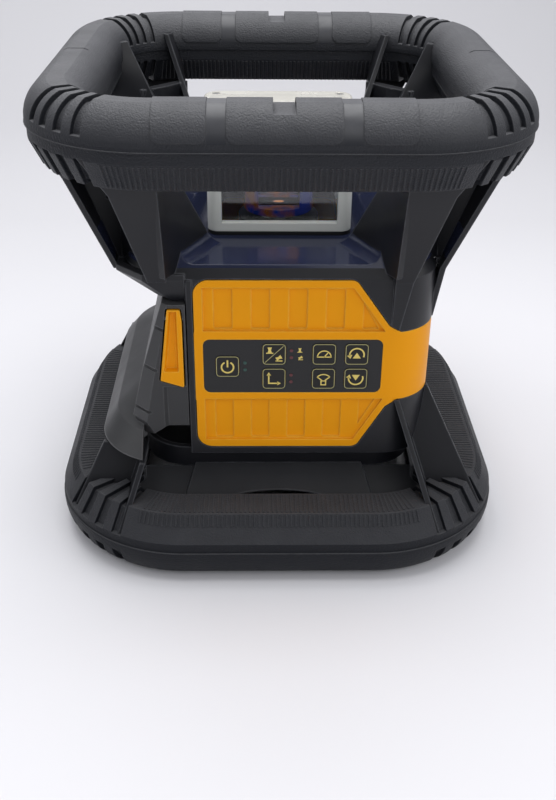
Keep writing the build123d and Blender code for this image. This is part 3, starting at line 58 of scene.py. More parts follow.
# %% [markdown]
# The camera stands close, a little over half a metre away, and looks down at about thirty degrees, so
# the top ring looks wider than the base. Its numbers were found by matching the straight edges of the
# housing and the rings. It could be aimed with a constraint, but a matrix also holds the slight roll:
# its columns are where right, up and backwards point, followed by where the camera stands.

# %% Camera
view_pitch = radians(30.50)
view_yaw = radians(1.317)
view_roll = radians(-0.633)
view_back = 536.3 * mm
view_side = 1.05 * mm
view_height = 355.8 * mm
nearest_seen = 10 * mm
focal_pixels = 1010.7
picture_height_pixels = 800
sensor_size = 36.0              # counts along the height, because the picture is taller than wide


def add_camera():
    turn = Matrix.Rotation(-view_yaw, 3, "Z")
    right = turn @ Vector((1, 0, 0))
    up = turn @ Vector((0, sin(view_pitch), cos(view_pitch)))
    ahead = turn @ Vector((0, cos(view_pitch), -sin(view_pitch)))
    image_right = right * cos(view_roll) - up * sin(view_roll)
    image_up = right * sin(view_roll) + up * cos(view_roll)
    place = turn @ Vector((view_side, -view_back, view_height))
    data = bpy.data.cameras.new("camera")
    data.sensor_width = sensor_size
    data.lens = focal_pixels * sensor_size / picture_height_pixels
    data.clip_start = nearest_seen
    camera = bpy.data.objects.new("camera", data)
    columns = [image_right, image_up, -ahead, place]
    rows = [[column[row] for column in columns] for row in range(3)]
    camera.matrix_world = Matrix(rows + [[0, 0, 0, 1]])
    bpy.context.scene.collection.objects.link(camera)
    bpy.context.scene.camera = camera
    return camera


camera = add_camera()
print("camera lens", round(camera.data.lens, 2))

# %% [markdown]
# Finishes and trees are made of nodes, and a few kinds come back again and again: a sum, a change of
# range, the X, Y or Z of a place, a blend of two colours. Written out, each takes several lines. So each
# is a helper that adds its node to a tree and hands back the node's output.

# %% Node helpers
def feed(tree, socket, value):
    """Link an output to a socket, or write a plain value on it."""
    if isinstance(value, bpy.types.NodeSocket):
        tree.links.new(value, socket)
    else:
        socket.default_value = value


def math_node(tree, operation, first, second=None, clamp=False):
    node = tree.nodes.new("ShaderNodeMath")
    node.operation = operation
    node.use_clamp = clamp
    feed(tree, node.inputs[0], first)
    if second is not None:
        feed(tree, node.inputs[1], second)
    return node.outputs[0]


def map_range(tree, value, source=(0.0, 1.0), target=(0.0, 1.0)):
    node = tree.nodes.new("ShaderNodeMapRange")
    feed(tree, node.inputs["Value"], value)
    for label, end in zip(("From Min", "From Max", "To Min", "To Max"), (*source, *target)):
        feed(tree, node.inputs[label], end)
    return node.outputs["Result"]


def mix_colour(tree, share, first, second):
    node = tree.nodes.new("ShaderNodeMix")
    node.data_type = "RGBA"
    feed(tree, node.inputs["Factor"], share)
    feed(tree, node.inputs[6], first)
    feed(tree, node.inputs[7], second)
    return node.outputs[2]


def parts_of(tree, node, socket):
    """The X, Y and Z values of a coordinate or a normal."""
    split = tree.nodes.new("ShaderNodeSeparateXYZ")
    tree.links.new(tree.nodes.new(node).outputs[socket], split.inputs["Vector"])
    return split.outputs


print("node helpers ready")

# %% [markdown]
# The stage is a sheet of pale card that curves up behind the object, as in a light tent. A plane and a
# wall would show the line where they meet, so the sheet is one swept profile: flat, a quarter circle,
# then upright. The card is painted a little darker at the back: painted shade on the upright part.

# %% Stage
floor_reach = 1.6
bend_radius = 0.7
bend_steps = 24
wall_place = 0.75
wall_height = 1.8
card_near = (0.76, 0.755, 0.785, 1)
card_far_shaded = (0.655, 0.65, 0.675, 1)
card_shade_span = (0.10, 0.42)     # how far back the darker tone begins, and where it is full
card_rough = 0.55


def card_finish():
    card = bpy.data.materials.new("pale_card")
    card.use_nodes = True
    tree = card.node_tree
    back = parts_of(tree, "ShaderNodeTexCoord", "Object")["Y"]
    # Darker towards the back: painted shade on the upright part of the card.
    paint = mix_colour(tree, map_range(tree, back, card_shade_span), card_near, card_far_shaded)
    shader = tree.nodes["Principled BSDF"]
    shader.inputs["Roughness"].default_value = card_rough
    tree.links.new(paint, shader.inputs["Base Color"])
    return card


def add_sweep(material):
    profile = [(-floor_reach, 0.0)]
    for step in range(bend_steps + 1):
        angle = step / bend_steps * pi / 2
        profile.append((wall_place + bend_radius * sin(angle), bend_radius * (1 - cos(angle))))
    profile.append((wall_place + bend_radius, wall_height))
    mesh = bpy.data.meshes.new("stage_sheet")
    points = [(side * floor_reach, y, z) for y, z in profile for side in (-1, 1)]
    faces = [(2 * i, 2 * i + 1, 2 * i + 3, 2 * i + 2) for i in range(len(profile) - 1)]
    mesh.from_pydata(points, [], faces)
    mesh.shade_smooth()
    mesh.materials.append(material)
    sheet = bpy.data.objects.new("stage_sheet", mesh)
    bpy.context.scene.collection.objects.link(sheet)
    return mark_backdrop(sheet)


add_sweep(card_finish())
print("stage:", bend_steps + 2, "strips of card")

# %% [markdown]
# Light is broad and soft: one large panel over the top, one in front, and weaker ones at both sides and
# behind. Small lamps would draw hard shadows of the rings. The world adds even light from all round. To
# the camera and through glass it is a white room. In reflections it is dim, because a black surface shows
# what it reflects more than its own colour, and on the camera's side there was little to reflect.

# %% Lights
room_light = 0.44
room_seen = 0.96
room_gloss = 0.13
room_colour = (0.93, 0.95, 1.0, 1)
lamp_aim = Vector((0, 0, 120 * mm))
lamp_plan = {       # place and size in metres, then power in watts
    "top_panel": ((0.0, 0.15, 1.25), 1.0, 13.0),
    "front_panel": ((0.45, -1.10, 0.95), 0.9, 3.8),
    "side_panel": ((1.10, -0.35, 0.75), 0.8, 3.0),
    "left_panel": ((-1.05, -0.15, 0.95), 0.8, 2.6),
    "rear_panel": ((-0.45, 1.10, 1.00), 0.8, 1.8),
}


def add_lamp(name, place, size, power):
    data = bpy.data.lights.new(name, "AREA")
    data.size = size
    data.energy = power
    lamp = bpy.data.objects.new(name, data)
    lamp.location = place
    lamp.rotation_euler = (lamp_aim - Vector(place)).to_track_quat("-Z", "Y").to_euler()
    bpy.context.scene.collection.objects.link(lamp)


def light_room():
    world = bpy.data.worlds.new("room")
    bpy.context.scene.world = world
    world.use_nodes = True
    tree = world.node_tree
    path = tree.nodes.new("ShaderNodeLightPath").outputs
    seen = math_node(tree, "MAXIMUM", path["Is Camera Ray"], path["Is Transmission Ray"])
    unseen = map_range(tree, path["Is Glossy Ray"], target=(room_light, room_gloss))
    background = tree.nodes["Background"]
    background.inputs["Color"].default_value = room_colour
    tree.links.new(map_range(tree, seen, target=(unseen, room_seen)), background.inputs["Strength"])


for lamp_name, (lamp_place, lamp_size, lamp_power) in lamp_plan.items():
    add_lamp(lamp_name, lamp_place, lamp_size, lamp_power)
light_room()
bpy.context.scene.view_settings.view_transform = "Standard"
print("lamps:", ", ".join(lamp_plan))

# %% [markdown]
# Three effects are shared by most finishes, so each is a node group that is built once.
#
# Grain is the fine pebbling that a mould leaves on plastic and rubber. It gives a height for a bump and
# a slow tone that breaks up the colour. Noise alone looks cloudy and a cell pattern alone looks like
# leather, so the two are mixed.
#
# Soft edges rounds the shading where two faces meet, because no moulded edge is perfectly sharp, and
# says where those edges are. A lighter colour is painted there: partly wear, where a tool that is carried
# about gets rubbed, and partly a painted highlight where the edges catch the light.
#
# Dust and sheen is a lighter film on what faces up, a little thicker in places: partly settled dust,
# partly a painted sheen of the light from above. On black that is most of what tells an upper face from a
# front.

# %% Shared effects
pebble_slope = -0.5     # a pebble falls away from the middle of its cell
edge_samples = 6
wear_and_highlight_gain = 9.0          # how soon a bend in the surface counts as an edge
dust_and_sheen_least = 0.7        # what the thin places have, before the noise adds to it


def new_group(name, inputs, outputs):
    group = bpy.data.node_groups.new(name, "ShaderNodeTree")
    for label, default in inputs.items():
        socket = group.interface.new_socket(label, in_out="INPUT", socket_type="NodeSocketFloat")
        socket.default_value = default
    for label, kind in outputs.items():
        group.interface.new_socket(label, in_out="OUTPUT", socket_type=kind)
    given = group.nodes.new("NodeGroupInput").outputs
    result = group.nodes.new("NodeGroupOutput").inputs
    return group, given, result


def texture_on(group, kind, scale, **values):
    """A texture on the piece's own coordinates."""
    node = group.nodes.new(kind)
    place = group.nodes.new("ShaderNodeTexCoord")
    group.links.new(place.outputs["Object"], node.inputs["Vector"])
    group.links.new(scale, node.inputs["Scale"])
    for label, value in values.items():
        node.inputs[label].default_value = value
    return node.outputs


def build_grain():
    group, given, result = new_group(
        "moulded_grain", {"Scale": 1500.0, "Patches": 40.0},
        {"Height": "NodeSocketFloat", "Tone": "NodeSocketFloat"})
    cells = texture_on(group, "ShaderNodeTexVoronoi", given["Scale"])
    speckle = texture_on(group, "ShaderNodeTexNoise", given["Scale"], Detail=2)
    patches = texture_on(group, "ShaderNodeTexNoise", given["Patches"], Detail=4)
    pebbles = math_node(group, "MULTIPLY", cells["Distance"], pebble_slope)
    group.links.new(math_node(group, "ADD", pebbles, speckle["Fac"]), result["Height"])
    group.links.new(patches["Fac"], result["Tone"])
    return group


def build_soft_edges():
    group, given, result = new_group(
        "soft_edges", {"Radius": 0.6 * mm, "Breakup": 220.0},
        {"Normal": "NodeSocketVector", "Wear and highlight": "NodeSocketFloat"})
    bevel = group.nodes.new("ShaderNodeBevel")
    bevel.samples = edge_samples
    group.links.new(given["Radius"], bevel.inputs["Radius"])
    shape = group.nodes.new("ShaderNodeNewGeometry")
    agree = group.nodes.new("ShaderNodeVectorMath")
    agree.operation = "DOT_PRODUCT"
    group.links.new(bevel.outputs["Normal"], agree.inputs[0])
    group.links.new(shape.outputs["Normal"], agree.inputs[1])
    bend = math_node(group, "SUBTRACT", 1.0, agree.outputs["Value"])
    # Where the surface bends, a lighter colour is painted: partly wear, partly a painted highlight.
    edge = math_node(group, "MULTIPLY", bend, wear_and_highlight_gain, clamp=True)
    patches = texture_on(group, "ShaderNodeTexNoise", given["Breakup"])
    group.links.new(bevel.outputs["Normal"], result["Normal"])
    group.links.new(math_node(group, "MULTIPLY", edge, patches["Fac"]), result["Wear and highlight"])
    return group


def build_dust_and_sheen():
    group, given, result = new_group(
        "dust_and_sheen_film", {"Amount": 0.3, "Scale": 60.0}, {"Mask": "NodeSocketFloat"})
    facing = parts_of(group, "ShaderNodeNewGeometry", "Normal")["Z"]
    # Lighter on what faces up: partly settled dust, partly a painted sheen of the light from above.
    upward = math_node(group, "MULTIPLY", facing, 1.0, clamp=True)
    patches = texture_on(group, "ShaderNodeTexNoise", given["Scale"], Detail=8, Roughness=0.7)
    upward_lightening = math_node(group, "MULTIPLY", upward, math_node(group, "ADD", patches["Fac"], dust_and_sheen_least))
    group.links.new(math_node(group, "MULTIPLY", upward_lightening, given["Amount"]), result["Mask"])
    return group


grain_group = build_grain()
edge_group = build_soft_edges()
dust_and_sheen_group = build_dust_and_sheen()
print("shared effects:", grain_group.name, edge_group.name, dust_and_sheen_group.name)

# %% [markdown]
# A finish is one function: it takes the colours and sizes that belong to a material and joins the
# shared effects to one shader. Wiring every material by hand would give more freedom, but a better grain
# would then have to be put into each of them. Values that are the same all over go straight onto the
# shader's sockets. A piece may have a place that is smoother than the rest, given as a mask.

# %% Finish builder
# The colour of the dust and the painted sheen on what faces up.
dust_and_sheen_colour = (0.40, 0.40, 0.42, 1)
rough_spread = (0.3, 0.7)       # the tones between which the roughness goes from one end to the other


def place_group(tree, group, **values):
    node = tree.nodes.new("ShaderNodeGroup")
    node.node_tree = group
    for label, value in values.items():
        node.inputs[label].default_value = value
    return node.outputs


def mix_value(tree, share, first, second):
    node = tree.nodes.new("ShaderNodeMix")
    feed(tree, node.inputs["Factor"], share)
    feed(tree, node.inputs["A"], first)
    feed(tree, node.inputs["B"], second)
    return node.outputs["Result"]


def finish(name, colour, tone, rough, grain=1500, patches=40, depth=0.04 * mm, edge=0.6 * mm, rub=None,
           dust=0.0, spread=(0.0, 1.0), polish=None, **sockets):
    """A material of two colours that blend over spread. Polish is a mask, a painted reflection colour and a
    roughness.
    """
    material = bpy.data.materials.new(name)
    material.use_nodes = True
    tree = material.node_tree
    shader = tree.nodes["Principled BSDF"]
    for label, value in sockets.items():
        shader.inputs[label.replace("_", " ")].default_value = value
    grains = place_group(tree, grain_group, Scale=grain, Patches=patches)
    edges = place_group(tree, edge_group, Radius=edge)
    paint = mix_colour(tree, map_range(tree, grains["Tone"], spread), (*colour, 1), (*tone, 1))
    # A lighter colour at the edges: partly wear, partly a painted highlight.
    if rub:
        paint = mix_colour(tree, edges["Wear and highlight"], paint, (*rub, 1))
    # A lighter film on what faces up: partly dust, partly a painted sheen.
    if dust:
        paint = mix_colour(tree, place_group(tree, dust_and_sheen_group, Amount=dust)["Mask"], paint, dust_and_sheen_colour)
    roughness = map_range(tree, grains["Tone"], rough_spread, rough)
    height = grains["Height"]
    if polish:
        find_place, painted_reflection_colour, polish_rough = polish
        mask = find_place(tree)
        # On the deck the polish colour is a painted blue reflection.
        if painted_reflection_colour:
            paint = mix_colour(tree, mask, paint, (*painted_reflection_colour, 1))
        roughness = mix_value(tree, mask, roughness, polish_rough)
        height = math_node(tree, "MULTIPLY", height, math_node(tree, "SUBTRACT", 1.0, mask))
    bump = tree.nodes.new("ShaderNodeBump")
    bump.inputs["Strength"].default_value = 1.0
    bump.inputs["Distance"].default_value = depth
    tree.links.new(height, bump.inputs["Height"])
    tree.links.new(edges["Normal"], bump.inputs["Normal"])
    tree.links.new(paint, shader.inputs["Base Color"])
    tree.links.new(roughness, shader.inputs["Roughness"])
    tree.links.new(bump.outputs["Normal"], shader.inputs["Normal"])
    return material


print("finish builder ready")

# %% [markdown]
# Two places are smoother than the rest of their piece: the deck round the lantern, and the strips between
# the pads on the front and back bars of the top ring. The deck is also painted a deep blue: a painted
# reflection. A second material would need its own faces, and the construction's meshes stay as they are.
# So each place is a mask, found by height, side and slope.

# %% Smooth places
deck_low = 160.5 * mm
deck_high = 178 * mm
deck_slope = 0.2            # the least upward part of a deck face's normal
gap_inside = 24.7 * mm
gap_outside = 32.8 * mm
gap_floor = 233.5 * mm


def between(tree, value, low, high):
    above = math_node(tree, "GREATER_THAN", value, low)
    return math_node(tree, "MULTIPLY", above, math_node(tree, "LESS_THAN", value, high))


def deck_faces(tree):
    """Mask of the faces that look up at the height of the deck."""
    deck = between(tree, parts_of(tree, "ShaderNodeTexCoord", "Object")["Z"], deck_low, deck_high)
    facing = parts_of(tree, "ShaderNodeNewGeometry", "Normal")["Z"]
    return math_node(tree, "MULTIPLY", deck, math_node(tree, "GREATER_THAN", facing, deck_slope))


def pad_gaps(tree):
    """Mask of the strips between the pads on the front and back bars of the top ring."""
    place = parts_of(tree, "ShaderNodeTexCoord", "Object")
    strip = between(tree, math_node(tree, "ABSOLUTE", place["X"]), gap_inside, gap_outside)
    return math_node(tree, "MULTIPLY", strip, math_node(tree, "GREATER_THAN", place["Z"], gap_floor))


print("smooth places: deck from", deck_low, "to", deck_high)

# %% [markdown]
# The cage is hard black plastic with a satin sheen, and its deck round the lantern is polished and
# painted a deep blue, a painted reflection. The bumpers are rubber with a grain that can be felt. The
# lower one is a copy painted darker, as painted shade, with less dust and sheen. Edges are painted lighter,
# partly wear and partly a painted highlight, and what faces up is painted lighter, partly dust and partly a
# painted sheen. The battery case is a greyer plastic. The shell and the latch are a warm yellow. The keypad
# is a matt film. Each is a row of colours and sizes for the finish builder, so that they can be compared.

# %% Outside finishes
outside_plan = {
    "cage_black": dict(
        colour=(0.0075, 0.008, 0.0105), tone=(0.0105, 0.011, 0.0145), rough=(0.34, 0.46), grain=2600,
        depth=0.012 * mm, edge=1.1 * mm, rub=(0.13, 0.135, 0.15), dust=0.025,
        # The deck's polish colour is a painted blue reflection.
        polish=(deck_faces, (0.018, 0.022, 0.048), 0.13), Specular_IOR_Level=0.34),
    "bumper_rubber": dict(
        colour=(0.0100, 0.0114, 0.0160), tone=(0.0145, 0.0160, 0.0210), rough=(0.46, 0.58), grain=1150,
        depth=0.34 * mm, edge=0.9 * mm, rub=(0.05, 0.052, 0.058), dust=0.17,
        polish=(pad_gaps, None, 0.34), Specular_IOR_Level=0.34),
    "yellow_shell": dict(
        colour=(0.82, 0.318, 0.002), tone=(0.87, 0.345, 0.003), rough=(0.38, 0.48), grain=2200,
        depth=0.02 * mm, edge=1.0 * mm, rub=(1.0, 0.60, 0.08), Specular_IOR_Level=0.12),
    "overlay": dict(
        colour=(0.027, 0.027, 0.0285), tone=(0.033, 0.033, 0.0345), rough=(0.42, 0.52), grain=3000,
        depth=0.01 * mm, edge=0.2 * mm, Specular_IOR_Level=0.2),
    "key_film": dict(
        colour=(0.020, 0.0195, 0.019), tone=(0.025, 0.0245, 0.024), rough=(0.40, 0.50), grain=3000,
        depth=0.01 * mm, edge=0.3 * mm, Specular_IOR_Level=0.2),
    "lantern_grey": dict(
        colour=(0.82, 0.84, 0.79), tone=(0.88, 0.90, 0.85), rough=(0.30, 0.40), grain=2000,
        depth=0.015 * mm, edge=0.7 * mm, rub=(0.88, 0.88, 0.86)),
    "lantern_pale": dict(
        colour=(0.82, 0.80, 0.74), tone=(0.87, 0.85, 0.80), rough=(0.22, 0.32), grain=900,
        depth=0.01 * mm, edge=0.8 * mm, Transmission_Weight=0.35, IOR=1.49),
    # The base ring's rubber is painted darker than the top ring's: painted shade.
    "shaded_base_rubber": dict(
        colour=(0.0085, 0.0096, 0.0132), tone=(0.0120, 0.0132, 0.0175), rough=(0.46, 0.58), grain=1150,
        depth=0.34 * mm, edge=0.9 * mm, rub=(0.05, 0.052, 0.058), dust=0.09, Specular_IOR_Level=0.22),
    "pack_plastic": dict(
        colour=(0.028, 0.0285, 0.0305), tone=(0.037, 0.0375, 0.0395), rough=(0.40, 0.52), grain=2000,
        depth=0.03 * mm, edge=1.1 * mm, rub=(0.16, 0.16, 0.165), dust=0.05, Specular_IOR_Level=0.4),
    "seal": dict(
        colour=(0.010, 0.010, 0.011), tone=(0.016, 0.016, 0.017), rough=(0.5, 0.6), grain=1800),
}
materials = {name: finish(name, **plan) for name, plan in outside_plan.items()}
print("outside finishes:", len(materials))

# %% [markdown]
# Inside and underneath there is cast and turned metal, circuit board, wrapped cells and glass. Glass
# keeps a plain transmission, and only its roughness varies, as finger marks do. The spinning head is
# coated so that stray light dies on it, and a coating of that kind looks blue to wine red, so two colours
# meet there over a narrow spread.

# %% Inside finishes
coating_spread = (0.44, 0.56)
inside_plan = {
    "aluminium": dict(
        colour=(0.62, 0.63, 0.65), tone=(0.70, 0.71, 0.73), rough=(0.30, 0.44), grain=1200,
        depth=0.02 * mm, Metallic=1.0),
    "steel": dict(
        colour=(0.52, 0.52, 0.54), tone=(0.60, 0.60, 0.62), rough=(0.22, 0.34), grain=2500,
        depth=0.01 * mm, Metallic=1.0),
    "black_steel": dict(
        colour=(0.02, 0.02, 0.022), tone=(0.03, 0.03, 0.032), rough=(0.34, 0.46), grain=2500,
        rub=(0.20, 0.20, 0.21), Specular_IOR_Level=0.6),
    "brass": dict(
        colour=(0.62, 0.43, 0.16), tone=(0.70, 0.50, 0.20), rough=(0.24, 0.36), grain=2500,
        depth=0.01 * mm, Metallic=1.0),
    "board": dict(
        colour=(0.015, 0.10, 0.045), tone=(0.02, 0.13, 0.06), rough=(0.34, 0.46), grain=900, patches=120),
    "belt": dict(
        colour=(0.012, 0.012, 0.012), tone=(0.02, 0.02, 0.02), rough=(0.6, 0.7), grain=1800),
    "dark_plastic": dict(
        colour=(0.016, 0.016, 0.018), tone=(0.024, 0.024, 0.026), rough=(0.34, 0.46), grain=2000),
    "cell_wrap": dict(
        colour=(0.03, 0.14, 0.36), tone=(0.04, 0.17, 0.42), rough=(0.26, 0.36), grain=600, depth=0.01 * mm),
    "glass": dict(
        colour=(0.90, 0.93, 0.99), tone=(0.94, 0.96, 1.0), rough=(0.0, 0.03), depth=0.0, edge=0.2 * mm,
        Transmission_Weight=1.0, IOR=1.5),
    "optic_glass": dict(
        colour=(0.20, 0.30, 0.95), tone=(0.95, 0.42, 0.16), rough=(0.0, 0.03), patches=90,
        spread=coating_spread, depth=0.0, edge=0.2 * mm, Transmission_Weight=1.0, IOR=1.6),
    "matt_black": dict(
        colour=(0.010, 0.010, 0.012), tone=(0.015, 0.015, 0.018), rough=(0.60, 0.70), grain=1800,
        Specular_IOR_Level=0.2),
    "coated_black": dict(
        colour=(0.008, 0.030, 0.300), tone=(0.300, 0.075, 0.012), rough=(0.16, 0.26), grain=1500,
        patches=55, spread=coating_spread, depth=0.01 * mm, Specular_IOR_Level=0.8),
}
materials.update({name: finish(name, **plan) for name, plan in inside_plan.items()})
print("all finishes:", len(materials))

# %% [markdown]
# The six small lights are one piece with two colours: the pair beside the first key is green and the
# others are red. Both are dull, because the level is switched off. Where the colour changes is a place
# on the object, so the colour is chosen by the object's own X coordinate.

# %% Light pipes
green_side = -10 * mm
dull_green = (0.022, 0.075, 0.062, 1)


def light_pipe_finish():
    material = finish("lights", (0.10, 0.022, 0.026), (0.13, 0.028, 0.032), (0.3, 0.4),
                      depth=0.0, edge=0.2 * mm)
    tree = material.node_tree
    paint = tree.nodes["Principled BSDF"].inputs["Base Color"]
    red = paint.links[0].from_socket
    is_green = math_node(tree, "LESS_THAN", parts_of(tree, "ShaderNodeTexCoord", "Object")["X"], green_side)
    tree.links.new(mix_colour(tree, is_green, red, dull_green), paint)
    return material


materials["lights"] = light_pipe_finish()
print("light pipes: green up to X", green_side)

# %% [markdown]
# The record names a material slot for every piece, and a piece gets the finish of that name. Five pieces
# look different from the others in their slot, so these have a finish of their own.

# %% Give every piece its finish
# The base bumper's own finish is a darker copy of the bumper rubber: painted shade.
own_finish = {"base_bumper": "shaded_base_rubber", "pack_case": "pack_plastic", "pack_lid": "pack_plastic",
              "rotor_head": "coated_black", "rotor_bridge": "matt_black"}
for subpart in frame["record"]["subparts"]:
    piece = frame["nodes"][subpart["node"]]
    piece.data.materials.clear()
    piece.data.materials.append(materials[own_finish.get(subpart["node"], subpart["material_slot"])])

# %% [markdown]
# What repeats or follows a path is made by a Geometry Nodes tree with named inputs for its sizes. A tree
# needs a beginning with those inputs and an end that makes real faces and paints them. The result is then
# taken off as a plain mesh, because a piece has to leave Blender without its tree.

# %% Tree helpers
def new_tree(name, sizes, counts=()):
    """A Geometry Nodes tree with inputs for its sizes, counts and material."""
    tree = bpy.data.node_groups.new(name, "GeometryNodeTree")
    for label in sizes:
        tree.interface.new_socket(label, in_out="INPUT", socket_type="NodeSocketFloat")
    for label in counts:
        tree.interface.new_socket(label, in_out="INPUT", socket_type="NodeSocketInt")
    tree.interface.new_socket("Material", in_out="INPUT", socket_type="NodeSocketMaterial")
    tree.interface.new_socket("Geometry", in_out="OUTPUT", socket_type="NodeSocketGeometry")
    return tree, tree.nodes.new("NodeGroupInput").outputs


def end_tree(tree, geometry, material):
    """Real faces in the given material."""
    real = tree.nodes.new("GeometryNodeRealizeInstances")
    painted = tree.nodes.new("GeometryNodeSetMaterial")
    result = tree.nodes.new("NodeGroupOutput")
    tree.links.new(geometry, real.inputs["Geometry"])
    tree.links.new(real.outputs["Geometry"], painted.inputs["Geometry"])
    tree.links.new(material, painted.inputs["Material"])
    tree.links.new(painted.outputs["Geometry"], result.inputs["Geometry"])


def vector_of(tree, **parts):
    """A vector of the parts that are given, with 0 for the others."""
    node = tree.nodes.new("ShaderNodeCombineXYZ")
    for label, value in parts.items():
        feed(tree, node.inputs[label], value)
    return node.outputs[0]


def grow(name, tree, values):
    """A plain mesh object made by a Geometry Nodes tree."""
    holder = bpy.data.objects.new(name + "_holder", bpy.data.meshes.new(name + "_holder"))
    bpy.context.scene.collection.objects.link(holder)
    modifier = holder.modifiers.new("tree", "NODES")
    modifier.node_group = tree
    for item in tree.interface.items_tree:
        if item.in_out == "INPUT":
            modifier[item.identifier] = values[item.name]
    evaluated = holder.evaluated_get(bpy.context.evaluated_depsgraph_get())
    mesh = bpy.data.meshes.new_from_object(evaluated)
    mesh.name = name
    holder.modifiers.remove(modifier)
    bpy.data.objects.remove(holder)
    piece = bpy.data.objects.new(name, mesh)
    bpy.context.scene.collection.objects.link(piece)
    return piece


print("tree helpers ready")

# %% [markdown]
# Rows of fine ribs are moulded into the half of each bumper ring that faces the housing. Every rib is
# the same small bar and the four sides of a ring are alike, so one Geometry Nodes tree makes a row and
# turns it to the four sides. A row runs on a little way round both corners. Each rib knows how far along
# the row it is. Within the straight part that is its place. Beyond it, what is left over is an arc, and
# the arc divided by the corner's radius is the angle that the rib has turned through.

# %% Rib row tree
rib_facets = 10


def build_rib_tree():
    tree, given = new_tree(
        "rib_rows", ("Pitch", "Width", "Proud", "Length", "Distance", "Level", "Lean", "Straight", "Radius"),
        counts=("Count",))
    nodes, links = tree.nodes, tree.links

    def work(operation, first, second=None):
        return math_node(tree, operation, first, second)

    # How far along the row, how much of that lies on the straight, and the angle round the corner
    middle = work("MULTIPLY", work("SUBTRACT", given["Count"], 1), 0.5)
    index = nodes.new("GeometryNodeInputIndex").outputs[0]
    along = work("MULTIPLY", work("SUBTRACT", index, middle), given["Pitch"])
    straight = work("MINIMUM", work("ABSOLUTE", along), given["Straight"])
    side = work("SIGN", along)
    bend = work("DIVIDE", work("SUBTRACT", work("ABSOLUTE", along), straight), given["Radius"])
    across = work("ADD", straight, work("MULTIPLY", given["Radius"], work("SINE", bend)))
    inward = work("MULTIPLY", given["Radius"], work("SUBTRACT", 1.0, work("COSINE", bend)))
    place = vector_of(tree, X=work("MULTIPLY", side, across),
                      Y=work("SUBTRACT", inward, given["Distance"]), Z=given["Level"])
    turn = vector_of(tree, X=given["Lean"], Z=work("MULTIPLY", side, bend))

    line = nodes.new("GeometryNodeMeshLine")
    links.new(given["Count"], line.inputs["Count"])
    placed = nodes.new("GeometryNodeSetPosition")
    links.new(line.outputs["Mesh"], placed.inputs["Geometry"])
    links.new(place, placed.inputs["Position"])

    # A round bar that is one unit wide and long, so that its scale is its size
    rib = nodes.new("GeometryNodeMeshCylinder")
    rib.inputs["Vertices"].default_value = rib_facets
    rib.inputs["Radius"].default_value = 0.5
    rib.inputs["Depth"].default_value = 1.0
    size = vector_of(tree, X=given["Width"], Y=work("MULTIPLY", given["Proud"], 2), Z=given["Length"])
    shaped = nodes.new("GeometryNodeTransform")
    links.new(rib.outputs["Mesh"], shaped.inputs["Geometry"])
    links.new(size, shaped.inputs["Scale"])
    row = nodes.new("GeometryNodeInstanceOnPoints")
    links.new(placed.outputs["Geometry"], row.inputs["Points"])
    links.new(shaped.outputs["Geometry"], row.inputs["Instance"])
    links.new(turn, row.inputs["Rotation"])
    sides = nodes.new("GeometryNodeJoinGeometry")
    for quarter in range(4):
        turned = nodes.new("GeometryNodeTransform")
        turned.inputs["Rotation"].default_value = (0, 0, quarter * pi / 2)
        links.new(row.outputs["Instances"], turned.inputs["Geometry"])
        links.new(turned.outputs["Geometry"], sides.inputs["Geometry"])
    end_tree(tree, sides.outputs["Geometry"], given["Material"])
    return tree


rib_tree = build_rib_tree()
print("rib tree:", len(rib_tree.nodes), "nodes")

# %% [markdown]
# Where the rows go follows from the ring's section. Seen across a bar, the ribbed half starts as a plain
# band beside the parting line and then tapers to a flat. On the top ring that half hangs below the
# parting line, on the base ring it stands above it. A row lies along the middle of the taper, leaning as
# the taper does, and one more row crosses the flat. On the base ring the outer row is short and leaves the
# lower part of the taper smooth.

# %% Ribs on the bumpers
ring_centre = 104 * mm
ring_shoulder = 5.6 * mm        # height of the plain band beside the parting line
ring_step = 0.8 * mm            # how far inside the band's face the taper starts
top_corner = 47 * mm            # corner radius along the middle of the top ring's bars
base_corner = 54 * mm
rib_flat = 9 * mm               # half the width of the flat
rib_pitch = 2.4 * mm
rib_width = 1.3 * mm
rib_proud = 0.48 * mm
rib_cover = 0.86                # how much of a taper's or flat's length a rib takes up
corner_reach = radians(22)      # how far a row runs round a corner before the grooves begin
top_outer_share = 1.0           # how much of its taper the outer row covers
base_outer_share = 0.45


def rib_row(name, rubber, corner, distance, **sizes):
    """One row on all four sides of a ring, at a distance from the spin axis."""
    straight = ring_centre - corner
    radius = corner + distance - ring_centre
    count = int(2 * (straight + radius * corner_reach) / rib_pitch)
    return grow(name, rib_tree, {
        "Pitch": rib_pitch, "Width": rib_width, "Proud": rib_proud, "Distance": distance,
        "Straight": straight, "Radius": radius, "Count": count, "Material": rubber, **sizes})


def ring_ribs(name, node, way, corner, outer_share):
    """Rows on both tapers and the flat of a ring. The ribbed half is below where way is -1. The outer row
    starts at the flat and covers a share of its taper."""
    rubber = frame["nodes"][node].data.materials[0]
    low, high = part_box(node)
    middle = (low.z + high.z) / 2
    reach = (high.z - low.z) / 2
    run = high.x - ring_centre - ring_step - rib_flat
    rise = reach - ring_shoulder
    rows = []
    for side, word, share in ((1, "outer", outer_share), (-1, "inner", 1.0)):
        distance = ring_centre + side * (rib_flat + run * share / 2)
        rows.append(rib_row(
            f"{name}_{word}_ribs", rubber, corner, distance,
            Length=rib_cover * share * hypot(run, rise),
            Level=middle + way * (reach - rise * share / 2),
            Lean=-way * side * atan2(run, rise)))
    rows.append(rib_row(
        f"{name}_flat_ribs", rubber, corner, ring_centre,
        Length=2 * rib_cover * rib_flat, Level=middle + way * reach, Lean=pi / 2))
    return rows


